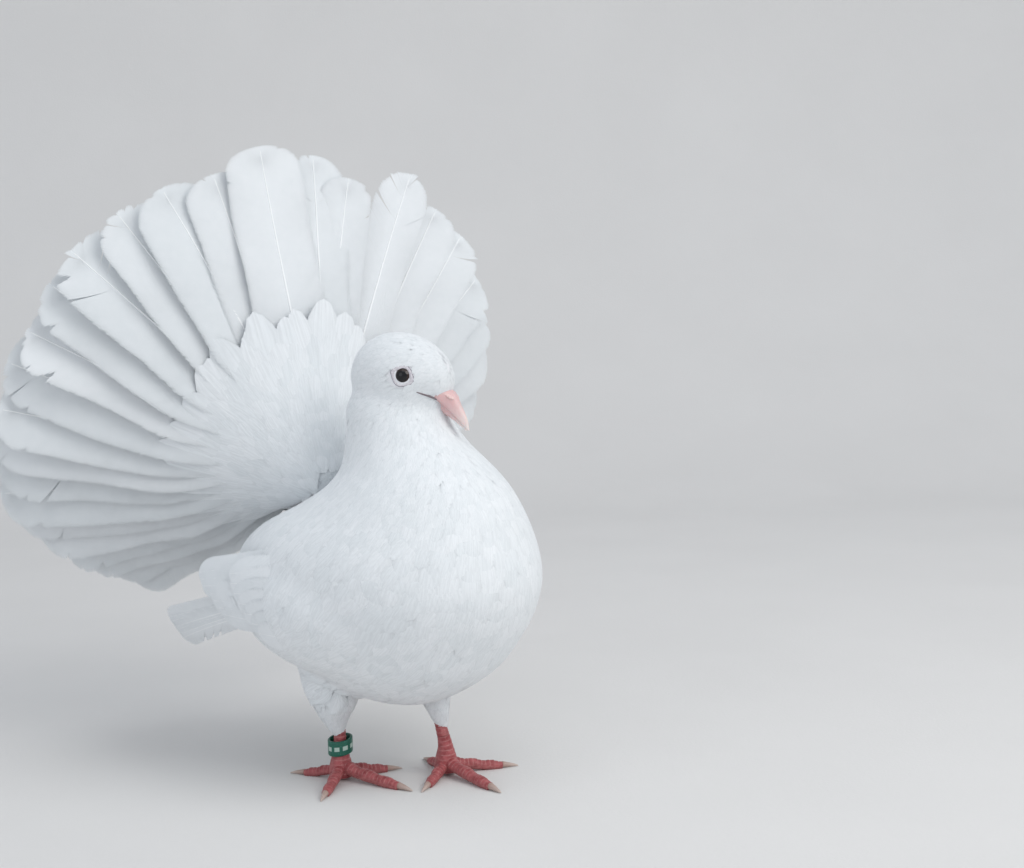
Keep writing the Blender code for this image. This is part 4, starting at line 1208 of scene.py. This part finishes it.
def add_group(tree, group, values):
    """A shared group in a material, its inputs set or linked by name."""
    node = tree.nodes.new("ShaderNodeGroup")
    node.node_tree = group
    for name, value in values.items():
        if isinstance(value, float):
            node.inputs[name].default_value = value
        else:
            tree.links.new(value, node.inputs[name])
    return node.outputs["Color"]


def new_material(name, colour, roughness, **inputs):
    """A material, its node tree and its shader, with more of the shader's inputs set by name."""
    finish = bpy.data.materials.new(name)
    finish.use_nodes = True
    shader = finish.node_tree.nodes["Principled BSDF"]
    values = {"Base Color": (*colour, 1.0), "Roughness": roughness, **inputs}
    for key, value in values.items():
        shader.inputs[key.replace("_", " ")].default_value = value
    return finish, finish.node_tree, shader


def painted(made, colour, *bump):
    """A new material with its colour linked, and its bump if one is given."""
    finish, tree, shader = made
    tree.links.new(colour, shader.inputs["Base Color"])
    if bump:
        add_bump(tree, shader, *bump)
    return finish


def add_node(tree, kind, **values):
    """A node with its properties set, and its inputs where a value is given for one."""
    node = tree.nodes.new(kind)
    for key, value in values.items():
        if hasattr(node, key):
            setattr(node, key, value)
        else:
            node.inputs[key.replace("_", " ")].default_value = value
    return node


def add_noise(tree, scale, detail=3.0):
    """Noise in the object's own space, its scale in turns for each metre."""
    place = add_node(tree, "ShaderNodeTexCoord")
    noise = add_node(tree, "ShaderNodeTexNoise", Scale=scale, Detail=detail)
    tree.links.new(place.outputs["Object"], noise.inputs["Vector"])
    return noise.outputs["Fac"]


def add_mix(tree, share, low, high):
    """A colour between two, by a share that is a socket or a number."""
    mix = add_node(tree, "ShaderNodeMix", data_type="RGBA")
    for socket, value in ((mix.inputs["Factor"], share), (mix.inputs["A"], low), (mix.inputs["B"], high)):
        if isinstance(value, bpy.types.NodeSocket):
            tree.links.new(value, socket)
        else:
            socket.default_value = (*value, 1.0) if isinstance(value, tuple) else value
    return mix.outputs["Result"]


def add_math(tree, operation, *values):
    node = add_node(tree, "ShaderNodeMath", operation=operation)
    for socket, value in zip(node.inputs, values):
        if isinstance(value, bpy.types.NodeSocket):
            tree.links.new(value, socket)
        else:
            socket.default_value = value
    return node.outputs[0]


def add_ramp(tree, value, low, high):
    node = add_node(tree, "ShaderNodeMapRange", interpolation_type="SMOOTHSTEP")
    tree.links.new(value, node.inputs["Value"])
    node.inputs["From Min"].default_value = low
    node.inputs["From Max"].default_value = high
    return node.outputs["Result"]


def add_bump(tree, shader, height, distance, strength=1.0):
    bump = add_node(tree, "ShaderNodeBump", Strength=strength, Distance=distance)
    tree.links.new(height, bump.inputs["Height"])
    tree.links.new(bump.outputs["Normal"], shader.inputs["Normal"])


def add_map(tree, name):
    """The two numbers of a UV map."""
    node = add_node(tree, "ShaderNodeUVMap", uv_map=name)
    parts = add_node(tree, "ShaderNodeSeparateXYZ")
    tree.links.new(node.outputs["UV"], parts.inputs["Vector"])
    return parts.outputs["X"], parts.outputs["Y"]


def add_attribute(tree, name):
    node = add_node(tree, "ShaderNodeAttribute", attribute_name=name)
    return node.outputs["Fac"]


def down_material():
    """Small feathers: white with a faint cool tint, fine barbs running to each edge, and painted shade
    darkening each feather towards its edges and in its strands.
    """
    made = new_material("down", (0.84, 0.86, 0.89), 0.8, Sheen_Weight=0.12, Specular_IOR_Level=0.25)
    tree = made[1]
    across, along = add_map(tree, "barbs")
    spread = add_math(tree, "ABSOLUTE", across)
    rows = add_math(tree, "MULTIPLY", along, 30.0)
    lines = add_math(tree, "SINE", add_math(tree, "SUBTRACT", rows, add_math(tree, "MULTIPLY", spread, 16.0)))
    tone = add_attribute(tree, "tone")
    strand = tree.nodes.new("ShaderNodeCombineXYZ")
    for socket, value, scale in zip(strand.inputs, (across, along, tone), STRANDS):
        tree.links.new(add_math(tree, "MULTIPLY", value, scale), socket)
    noise = add_node(tree, "ShaderNodeTexNoise", Scale=1.0, Detail=2.0)
    tree.links.new(strand.outputs[0], noise.inputs["Vector"])
    hair = noise.outputs["Fac"]
    fine, coarse = add_math(tree, "MULTIPLY", lines, 0.3), add_math(tree, "MULTIPLY", hair, 3.0)
    height = add_math(tree, "ADD", fine, coarse)
    white = add_group(tree, plumage_white(), {"Tone": tone, "Scale": 120.0})
    # Painted shade: the white is darkened towards each feather's edges and in its strands
    edge = add_math(tree, "MULTIPLY", add_ramp(tree, spread, 0.35, 1.0), DOWN_EDGE_PAINTED_SHADE)
    dark = add_math(tree, "MULTIPLY", add_ramp(tree, hair, 0.35, 0.65), DOWN_STRAND_PAINTED_SHADE)
    shade = add_math(tree, "SUBTRACT", 1.0, add_math(tree, "ADD", edge, dark))
    return painted(made, add_mix(tree, shade, (0.0, 0.0, 0.0), white), height, 0.07 * MM, 0.7)


def vane_material():
    """Flight and tail feathers: white barbs with fine lines, and a paler horny shaft."""
    made = new_material("vane", (0.84, 0.86, 0.89), 0.62, Specular_IOR_Level=0.3)
    tree = made[1]
    along, barb = add_map(tree, "barbs")
    lines = add_math(tree, "SINE", add_math(tree, "MULTIPLY", barb, 4 * math.pi))
    white = add_group(tree, plumage_white(), {"Tone": add_attribute(tree, "tone"), "Scale": 260.0})
    colour = add_mix(tree, add_ramp(tree, along, -0.4, -0.6), white, (0.94, 0.95, 0.96))
    return painted(made, colour, lines, 0.06 * MM, 0.6)


def skin_material():
    """Bare skin under the coat, hidden but for hairline gaps."""
    made = new_material("skin", (0.80, 0.79, 0.80), 0.8)
    tree = made[1]
    colour = add_mix(tree, add_noise(tree, 300.0), (0.74, 0.75, 0.78), (0.86, 0.86, 0.88))
    return painted(made, colour, add_noise(tree, 1400.0), 0.2 * MM)


def leg_material():
    """Scaly red leg: deep red scutes, paler in the folds between them, dusty on top."""
    made = new_material("leg_skin", (0.45, 0.09, 0.07), 0.5)
    tree = made[1]
    fold = add_math(tree, "MULTIPLY", add_attribute(tree, "fold"), 0.55)
    blotch = add_ramp(tree, add_noise(tree, 420.0, 4.0), 0.3, 0.7)
    red = add_mix(tree, blotch, (0.27, 0.04, 0.045), (0.43, 0.10, 0.105))
    worn = add_ramp(tree, add_noise(tree, 900.0), 0.4, 0.7)
    pale = add_mix(tree, worn, (0.45, 0.19, 0.18), (0.60, 0.33, 0.31))
    dust = add_math(tree, "MULTIPLY", add_ramp(tree, add_noise(tree, 1600.0, 5.0), 0.5, 0.75), 0.35)
    colour = add_mix(tree, add_math(tree, "MAXIMUM", fold, dust), red, pale)
    return painted(made, colour, add_noise(tree, 3200.0, 4.0), 0.08 * MM)


def horn_material(name, root, tip, roughness, **inputs):
    """Horn that pales from its root to its tip, by the share attribute."""
    made = new_material(name, root, roughness, **inputs)
    tree = made[1]
    share = add_attribute(tree, "share")
    grain = add_math(tree, "MULTIPLY", add_math(tree, "SUBTRACT", add_noise(tree, 900.0, 4.0), 0.5), 0.5)
    colour = add_mix(tree, add_math(tree, "ADD", share, grain), root, tip)
    return painted(made, colour, add_noise(tree, 1800.0), 0.03 * MM)


def bill_material():
    depth = {"Subsurface_Weight": 0.25, "Subsurface_Radius": (1.0, 0.4, 0.3), "Subsurface_Scale": 1.2 * MM}
    return horn_material("bill_horn", (0.70, 0.46, 0.455), (0.84, 0.73, 0.70), 0.42, **depth)


def cere_material():
    made = new_material("cere", (0.80, 0.66, 0.63), 0.8)
    tree = made[1]
    powder = add_ramp(tree, add_noise(tree, 2200.0, 4.0), 0.35, 0.65)
    colour = add_mix(tree, powder, (0.72, 0.47, 0.45), (0.82, 0.64, 0.61))
    return painted(made, colour, add_noise(tree, 2600.0, 4.0), 0.06 * MM)


def gape_painted_shade_material():
    # Painted shade: the tube along the mouth's slit is coloured dark for the shade in the slit
    made = new_material("gape_painted_shade", (0.2, 0.16, 0.17), 0.6)
    return painted(made, add_mix(made[1], add_noise(made[1], 1500.0), (0.13, 0.105, 0.115), (0.27, 0.22, 0.24)))


def eye_material():
    """A dark wet eye: a black pupil in a deep brown iris."""
    wet = {"Specular_IOR_Level": 0.2, "Coat_Weight": 0.45, "Coat_Roughness": 0.04}
    made = new_material("eye_dark", (0.02, 0.012, 0.01), 0.12, **wet)
    tree = made[1]
    iris = add_mix(tree, add_noise(tree, 2600.0, 4.0), (0.012, 0.006, 0.005), (0.035, 0.016, 0.010))
    ring = add_ramp(tree, add_attribute(tree, "pupil"), 0.54, 0.60)
    return painted(made, add_mix(tree, ring, (0.004, 0.004, 0.005), iris))


def lid_material():
    """Bare eyelid skin: pale grey lilac, with painted shade as a dark band in the crease round its outer edge.
    """
    made = new_material("eyelid", (0.55, 0.50, 0.50), 0.55)
    tree = made[1]
    mottled = add_ramp(tree, add_noise(tree, 1500.0), 0.35, 0.65)
    pale = add_mix(tree, mottled, (0.56, 0.53, 0.57), (0.70, 0.67, 0.70))
    reach = add_attribute(tree, "reach")
    # Painted shade: dark where the lid slopes down into the crease at its outer edge
    crease = add_math(tree, "MULTIPLY", add_ramp(tree, reach, 1.05, 1.25), add_ramp(tree, reach, 1.75, 1.45))
    return painted(made, add_mix(tree, crease, pale, (0.33, 0.31, 0.35)), add_noise(tree, 3500.0), 0.05 * MM)


def ring_material():
    """Dark green plastic with pale worn bars round it, finely scratched."""
    made = new_material("ring_plastic", (0.01, 0.13, 0.09), 0.3)
    tree = made[1]
    wear = add_ramp(tree, add_noise(tree, 1500.0, 5.0), 0.55, 0.75)
    green = add_mix(tree, wear, (0.006, 0.115, 0.075), (0.03, 0.2, 0.14))
    colour = add_mix(tree, add_ramp(tree, add_attribute(tree, "bars"), 0.4, 0.6), green, (0.42, 0.55, 0.49))
    return painted(made, colour, add_noise(tree, 2400.0, 5.0), 0.04 * MM)


def floor_material():
    made = new_material("floor", (0.72, 0.71, 0.70), 0.85)
    tree = made[1]
    colour = add_mix(tree, add_noise(tree, 9.0, 4.0), (0.69, 0.68, 0.67), (0.74, 0.73, 0.72))
    return painted(made, colour, add_noise(tree, 600.0, 4.0), 0.1 * MM)


# Legs, claws and ring


def toe_path(foot, heading, length, radii):
    direction = np.array((math.sin(heading), -math.cos(heading), 0.0))
    share = np.linspace(0, 1, len(radii))
    drop = TOE_DROP * (1.0 - share) ** 2.4
    arch = TOE_ARCH * np.sin(np.pi * share) ** 2
    height = radii * TOE_FLATTEN - SOLE + arch + drop
    path = foot + direction * (length * share)[:, None]
    path[:, 2] = height
    return path, direction


def scute_field(distance, turn, top_turn):
    """Rise of the scales on a leg or toe: plates across its front, grains elsewhere."""
    facing = np.cos(turn - top_turn)
    plate = smooth_step(facing, -0.1, 0.35)
    step = (distance / SCUTE_PITCH) % 1.0
    ridge = step**0.8 * (1 - smooth_step(step, 0.86, 1.0))
    grain = np.abs(np.sin(distance / SCUTE_PITCH * 5.0 + 3.0 * np.sin(turn * 3))) * np.abs(np.sin(turn * 7.0))
    rise = SCUTE_RISE * (plate * (ridge - 0.3) + (1 - plate) * (0.6 * grain - 0.3))
    fold = plate * (1 - smooth_step(np.minimum(step, 1 - step), 0.0, 0.16)) + (1 - plate) * (0.65 - 0.5 * grain)
    return rise, fold


def scaled_tube(path, radii, sides, flatten, top_turn):
    rings = tube_rings(path, radii, sides, flatten)
    distance = np.concatenate(([0.0], np.cumsum(np.linalg.norm(np.diff(path, axis=0), axis=1))))[:, None]
    turn = (2 * np.pi * (np.arange(sides) + 0.5) / sides)[None, :]
    rise, fold = scute_field(distance, turn, top_turn)
    centre = path[:, None]
    rings = rings + unit(rings - centre) * rise[..., None]
    return rings, fold


def toe_arrays(foot, heading, length, radius):
    steps = 100
    share = np.linspace(0, 1, steps)
    knuckles = np.interp(share * (len(KNUCKLES) - 1), np.arange(len(KNUCKLES)), KNUCKLES)
    bulge = 1.0 + 0.03 * np.sin(share * (len(KNUCKLES) - 1) * np.pi)
    path, direction = toe_path(foot, heading, length, radius * knuckles * bulge)
    rings, fold = scaled_tube(path, radius * knuckles * bulge, 40, TOE_FLATTEN, math.pi / 2)
    rings[..., 2] = np.where(rings[..., 2] < 0.25 * MM, np.maximum(rings[..., 2] * 0.15, 0.0), rings[..., 2])
    return rings, fold, path[-1], direction


def build_legs(leg, claw):
    """Claws as pieces of their own; returns the closed meshes of both feet and shanks."""
    legs = []
    for side, foot in FEET.items():
        sign = SIDES[side]
        parts = []
        top = SHANK_TOP_Z[side] + 3.0 * MM
        heights = np.linspace(0.13 * ANKLE_Z, top, 110)
        lean = SHANK_LEAN[side] * smooth_step(heights, ANKLE_Z, 28.0 * MM)[:, None]
        path = foot + np.concatenate((lean, heights[:, None]), 1)
        radii = np.interp(heights / MM, SHANK_STATIONS, SHANK_RADII) * MM
        parts.append(scaled_tube(path, radii, 44, 1.0, -math.pi / 2))
        claws = []
        for toe, (angle, length, radius) in TOES.items():
            heading = -sign * TOE_IN + sign * math.radians(angle)
            rings, fold, tip, direction = toe_arrays(foot, heading, length * MM, radius * TOE_PLUMPNESS * MM)
            parts.append((rings, fold))
            claws.append((toe, tip, direction, radius * MM * KNUCKLES[-1] * 0.85))
        for rings, fold in parts:
            block, triangles = loft_arrays(rings)
            mesh = mesh_of(f"leg_{side}", block, outward(block, triangles))
            set_number(mesh, "fold", np.concatenate((fold.ravel(), [0.5, 0.5])))
            mesh.materials.append(leg)
            legs.append(mesh)
        for toe, tip, direction, radius in claws:
            build_claw(f"claw_{toe}_{side}", tip, direction, radius, claw)
    return legs


def build_claw(node, root, direction, radius, finish):
    """A curved claw, round on top, its tip just off the floor."""
    steps = 20
    share = np.linspace(0, 1, steps)
    size = radius * (1 - share) ** 0.7 * 0.96 + 0.1 * MM
    rise = 0.5 * MM * np.sin(np.pi * np.minimum(1.0, share * 1.3)) * (1 - share)
    height = np.maximum(root[2] + rise - 0.8 * MM * share, size + CLAW_CLEARANCE)
    path = root + direction * (CLAW_GAP * 0.3 + CLAW_LENGTH * share)[:, None]
    path[:, 2] = height
    rings = tube_rings(path, size, 18)
    points, faces = loft_arrays(rings)
    mesh = mesh_of(f"horn_{node}", points, outward(points, faces))
    set_number(mesh, "share", np.concatenate((np.repeat(share, 18), [0.0, 1.0])))
    add_piece(f"horn_{node}", mesh, finish, (node,))


def build_ring(finish):
    """The band round the right shank, loose and tilted, with a row of pale bars."""
    low, high = (np.array(corner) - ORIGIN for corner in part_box("leg_ring"))
    count = 480
    turn = 2 * np.pi * np.arange(count) / count
    rows = []
    for radius, rise in RING_PROFILE:
        tilted = rise + radius * np.cos(turn) * math.tan(RING_TILT)
        rows.append(np.stack((radius * np.cos(turn), radius * np.sin(turn), tilted), 1) * MM)
    points = np.concatenate(rows) + (low + high) / 2
    faces = grid_cells(len(rows) + 1, count, closed=True)[:, (0, 3, 2, 1)] % len(points)
    mesh = mesh_of("leg_band", points, faces)
    radii, rises = np.array(RING_PROFILE).T
    marked = (np.abs(rises) < RING_BAR_HALF) & (radii > RING_OUTER - 0.05)
    place = turn / (2 * np.pi) * RING_BARS
    bar = place % 1.0 < 0.6
    set_number(mesh, "bars", (marked[:, None] & bar[None, :]).astype(float).ravel())
    add_piece("leg_band", mesh, finish, ("leg_ring",))


# Head parts


def build_bill(horn, cere):
    steps, sides = 44, 36
    keys = np.linspace(0, len(CULMEN) - 1, steps)
    stations = [(k, *CULMEN[k], *MOUTH[k], *KEEL[k], BILL_HALF_WIDTHS[k]) for k in range(len(CULMEN))]
    rows = spline(stations, keys)
    for part, outer, sign in (("upper", 0, 1.0), ("lower", 4, -1.0)):
        far, mouth = rows[:, outer : outer + 2], rows[:, 2:4]
        width = rows[:, 6] * (1.0 if sign > 0 else np.interp(keys, range(len(CULMEN)), LOWER_BILL_SHARES))
        turn = 2 * np.pi * np.arange(sides) / sides
        lift = np.where(np.sin(turn) > 0, np.abs(np.sin(turn)) ** 0.9, 0.0)
        forward = mouth[:, :1] + (far[:, :1] - mouth[:, :1]) * lift
        edge = mouth[:, 1:] + sign * 0.08
        rise = edge + (far[:, 1:] - edge) * lift
        across = width[:, None] * np.sign(np.cos(turn)) * np.abs(np.cos(turn)) ** 0.9
        rings = head_point(forward * MM, across * MM, rise * MM)
        points, faces = loft_arrays(rings)
        mesh = mesh_of(f"horn_bill_{part}", points, outward(points, faces))
        along = np.repeat(smooth_step(keys, 2.0, 5.0), sides)
        set_number(mesh, "share", np.concatenate((along, [0.0, 1.0])))
        add_piece(f"horn_bill_{part}", mesh, horn, (f"bill_{part}",))
    build_cere(cere)


def build_gape(surface, dark):
    """The thin dark line of the closed mouth, painted shade for its slit, running back from the bill over the
    face.
    """
    parts = []
    for sign in SIDES.values():
        _, across, _ = head_axes()
        stations = [(k, *row) for k, row in enumerate(GAPE)]
        rows = spline(stations, np.linspace(0, len(GAPE) - 1, 40))
        path = []
        for forward, rise, _ in rows:
            start = head_point(forward * MM, sign * 3 * EYE_RADIUS, rise * MM)
            path.append(start - across * sign * (surface.drop(start, -across * sign) - GAPE_LIFT))
        rings = tube_rings(np.array(path), rows[:, 2] * MM, 12)
        parts.append(closed_mesh("gape", rings))
    add_piece("gape_lines", joined("gape_lines", parts), dark)


def build_cere(cere):
    """The two soft powdery swellings over the nostrils."""
    shapes = []
    for sign in SIDES.values():

        def swelling(points):
            along, across, up = points[:, 0] * 3.0, points[:, 1] * 1.9, points[:, 2] * 1.1
            return head_point((21.6 + along) * MM, (sign * 2.1 + across) * MM, (-6.0 + up - along * 0.55) * MM)

        shapes.append(sphere_mesh("swelling", 36, 24, swelling)[0])
    add_piece("cere_swellings", joined("cere_swellings", shapes), cere)


def build_eye(side, sign, surface, eye, lid):
    centre, axis = eye_place(sign), eye_axis(sign)
    level = unit(np.cross(axis, np.array((0.0, 0.0, 1.0)))) * sign
    upright = unit(np.cross(level, axis)) * sign
    across = level * math.cos(EYE_SLANT) - upright * math.sin(EYE_SLANT)
    up = upright * math.cos(EYE_SLANT) + level * math.sin(EYE_SLANT)

    def ball(points):
        cornea = 1.0 + 0.035 * smooth_step(points[:, 2], 0.6, 1.0)
        bulged = across * points[:, :1] + up * points[:, 1:2] + axis * points[:, 2:] * cornea[:, None]
        return centre + bulged * EYE_RADIUS

    mesh, places = sphere_mesh(f"eyeball_{side}", 48, 32, ball)
    pupil = np.hypot(places[:, 0], places[:, 1])
    set_number(mesh, "pupil", np.where(places[:, 2] > 0, pupil, 1.0))
    add_piece(f"eyeball_{side}", mesh, eye, (f"eye_{side}",))
    turn = np.linspace(0, 2 * np.pi, 96, endpoint=False)
    wide, tall = LID_OPENING
    corner = 1.0 + 0.07 * np.abs(np.cos(turn)) ** 6
    folds = 0.06 * MM * np.sin(turn * 17.0)
    rings = []
    for reach, depth in LID_PROFILE:
        spread = reach * MM
        drawn = 0.75 + 0.85 * np.abs(np.cos(turn)) ** 5
        x = np.cos(turn) * (wide * corner + spread * drawn)
        y = np.sin(turn) * (tall + spread * 0.82)
        out_from_eye = np.sqrt(np.maximum(EYE_RADIUS**2 - np.minimum(x**2 + y**2, EYE_RADIUS**2 * 0.8), 0))
        above = centre + across * x[:, None] + up * y[:, None] + axis * (3 * EYE_RADIUS)
        on_skin = 3 * EYE_RADIUS - np.array([surface.drop(place, -axis) for place in above])
        settled = smooth_step(reach, 0.0, 0.6)
        lift = out_from_eye * (1 - settled) + np.maximum(on_skin, 0.2 * out_from_eye) * settled
        lift = lift + depth * MM + folds * smooth_step(reach, 0.2, 1.0)
        rings.append(centre + across * x[:, None] + up * y[:, None] + axis * lift[:, None])
    points = np.concatenate(rings)
    count = len(turn)
    faces = grid_cells(len(rings), count, closed=True)
    if sign > 0:
        faces = faces[:, ::-1]
    mesh = mesh_of(f"eyelids_{side}", points, faces)
    set_number(mesh, "reach", np.repeat([reach for reach, _ in LID_PROFILE], count))
    add_piece(f"eyelids_{side}", mesh, lid)


# Scene


def build_camera():
    heading = -CAMERA_AZIMUTH + math.atan((PHOTO_CENTRE[0] - BIRD_COLUMN) / FOCAL_PX)
    pitch = math.atan((PHOTO_CENTRE[1] - HORIZON_ROW) / FOCAL_PX)
    flat = math.cos(pitch)
    look = Vector((flat * math.sin(heading), flat * math.cos(heading), -math.sin(pitch)))
    level = Vector((math.cos(heading), -math.sin(heading), 0.0))
    upright = level.cross(look)
    right = level * math.cos(CAMERA_ROLL) - upright * math.sin(CAMERA_ROLL)
    up = level * math.sin(CAMERA_ROLL) + upright * math.cos(CAMERA_ROLL)
    camera = bpy.data.objects.new("camera", bpy.data.cameras.new("camera"))
    bpy.context.scene.collection.objects.link(camera)
    place = np.array((math.sin(CAMERA_AZIMUTH), -math.cos(CAMERA_AZIMUTH), 0.0)) * CAMERA_DISTANCE
    place[2] = CAMERA_HEIGHT
    matrix = np.eye(4)
    matrix[:3, 0], matrix[:3, 1], matrix[:3, 2] = right, up, -look
    matrix[:3, 3] = place + ORIGIN
    camera.matrix_world = Matrix(matrix.tolist())
    camera.data.sensor_width = SENSOR_WIDTH
    camera.data.lens = SENSOR_WIDTH * FOCAL_PX / PHOTO_WIDTH
    bpy.context.scene.camera = camera


def add_light(name, azimuth, elevation, distance, size, power, colour):
    """A soft round lamp aimed at the bird; azimuth is measured round it from the camera's side."""
    turn = CAMERA_AZIMUTH + math.radians(azimuth)
    lift = math.radians(elevation)
    away = Vector((math.sin(turn) * math.cos(lift), -math.cos(turn) * math.cos(lift), math.sin(lift)))
    lamp = bpy.data.lights.new(name, "AREA")
    lamp.shape = "DISK"
    lamp.size = size
    lamp.energy = power
    lamp.color = colour
    item = bpy.data.objects.new(name, lamp)
    bpy.context.scene.collection.objects.link(item)
    target = Vector(ORIGIN) + Vector((0.0, 0.0, LAMP_TARGET_Z))
    item.location = target + away * distance
    item.rotation_mode = "QUATERNION"
    item.rotation_quaternion = (-away).to_track_quat("-Z", "Y")


def build_stage(finish):
    """A floor that curves up into a backdrop behind the bird, as seen by the camera."""
    turn = -CAMERA_AZIMUTH
    ahead = np.array((math.sin(turn), math.cos(turn), 0.0))
    aside = np.array((math.cos(turn), -math.sin(turn), 0.0))
    profile = [(STAGE_FRONT, 0.0), (STAGE_BEND, 0.0)]
    for step in range(1, STAGE_STEPS + 1):
        bend = math.pi / 2 * step / STAGE_STEPS
        profile.append((STAGE_BEND + STAGE_RADIUS * math.sin(bend), STAGE_RADIUS * (1 - math.cos(bend))))
    profile.append((STAGE_BEND + STAGE_RADIUS, STAGE_TOP))
    points = []
    for forward, height in profile:
        for across in (-STAGE_HALF_WIDTH, STAGE_HALF_WIDTH):
            points.append(ahead * forward + aside * across + np.array((0.0, 0.0, height)))
    index = 2 * np.arange(len(profile) - 1)
    faces = np.stack((index, index + 1, index + 3, index + 2), 1)
    mesh = mesh_of("floor", np.array(points), faces)
    mesh.transform(PLACE)
    mesh.materials.append(finish)
    mesh.shade_smooth()
    floor = bpy.data.objects.new("floor", mesh)
    bpy.context.scene.collection.objects.link(floor)


def build_light():
    world = bpy.data.worlds.new("studio")
    world.use_nodes = True
    sky = world.node_tree.nodes["Background"].inputs
    sky["Color"].default_value, sky["Strength"].default_value = SKY_COLOUR, SKY_STRENGTH
    bpy.context.scene.world = world
    for lamp in LAMPS:
        add_light(*lamp)
    view = bpy.context.scene.view_settings
    view.view_transform = "Standard"
    view.look = "None"


def build_coat(surface, down):
    """Small feathers over the whole skin, in pieces by part of the body."""
    chance = np.random.default_rng(COAT_SEED)

    def clear(points, normals):
        forward, side, rise = head_frame(points)
        tips = points + lie_of(points, normals) * feather_sizes(points)[:, :1] * 0.85
        keep = np.ones(len(points), bool)
        for sign in SIDES.values():
            for places, reach in ((points, 5.0 * MM), (tips, 4.35 * MM), ((points + tips) / 2, 4.6 * MM)):
                away = places - eye_place(sign)
                along = away @ eye_axis(sign)
                radial = np.linalg.norm(away - along[:, None] * eye_axis(sign), axis=1)
                keep &= ~((radial < reach) & (along > 0))
        mouth, culmen = (np.interp(forward / MM, *np.array(line).T) * MM for line in (MOUTH, CULMEN))
        bill = (forward > 17.4 * MM) & (rise < culmen + 0.3 * MM) & (rise > mouth)
        nostrils = (forward > 20.6 * MM) & (rise < -5.4 * MM) & (rise > -13.0 * MM)
        keep &= ~(bill & (np.abs(side) < 8.0 * MM)) & ~(nostrils & (np.abs(side) < 5.0 * MM))
        keep &= points[:, 2] > 18.0 * MM
        return keep

    spots, normals = scatter(surface, chance, clear)
    z = spots[:, 2]
    thigh = thigh_share(spots) > 0.5
    rump = (np.linalg.norm(spots - FAN_ROOT, axis=1) < RUMP_PIECE) & ~thigh
    head = (z > 150.0 * MM) & ~rump
    neck = (z > 122.0 * MM) & ~head & ~rump & (spots[:, 1] < 30.0 * MM)
    low = (z < 75.0 * MM) & ~thigh & ~rump
    rest = ~(thigh | rump | head | neck | low)
    groups = {
        "thighs": thigh,
        "head": head,
        "neck": neck,
        "belly": low,
        "rump_right": rump & (spots[:, 0] < 0.0),
        "rump_left": rump & (spots[:, 0] >= 0.0),
        "back": rest & (spots[:, 1] > 0.0),
        "breast": rest & (spots[:, 1] <= 0.0),
    }
    for name, group in groups.items():
        places, facing = spots[group], normals[group]
        arrays = coat_arrays(
            surface, places, facing, lie_of(places, facing), feather_sizes(places), bake_place(places), chance
        )
        mesh = feather_mesh(f"coat_{name}", arrays)
        add_piece(f"coat_{name}", mesh, down)


def build_skin(skin, legs):
    """The one skin of body, head, thighs, shanks and feet, without a seam."""
    skin.materials.clear()
    skin.materials.append(skin_material())
    set_number(skin, "fold", np.zeros(len(skin.vertices)))
    whole = united(skin, legs)
    points = np.empty(len(whole.vertices) * 3, np.float32)
    whole.vertices.foreach_get("co", points)
    set_map(whole, "OFBake", bake_place(points.reshape(-1, 3).astype(float)))
    legs = (f"{part}_{side}" for part in ("thigh", "shank", "foot") for side in SIDES)
    add_piece("skin", whole, None, ("torso", "neck", "head", *legs))


def main():
    skin = skin_mesh()
    surface = Surface(skin)
    down, vane = down_material(), vane_material()
    build_coat(surface, down)
    claw = horn_material("claw_horn", (0.40, 0.27, 0.23), (0.55, 0.45, 0.40), 0.4)
    legs = build_legs(leg_material(), claw)
    build_skin(skin, legs)
    build_tail(vane)
    build_tail_coverts(surface, down)
    eye, lid = eye_material(), lid_material()
    for side, sign in SIDES.items():
        build_wing(side, sign, vane)
        build_eye(side, sign, surface, eye, lid)
    build_bill(bill_material(), cere_material())
    build_gape(surface, gape_painted_shade_material())
    build_ring(ring_material())
    build_stage(floor_material())
    build_camera()
    build_light()


main()
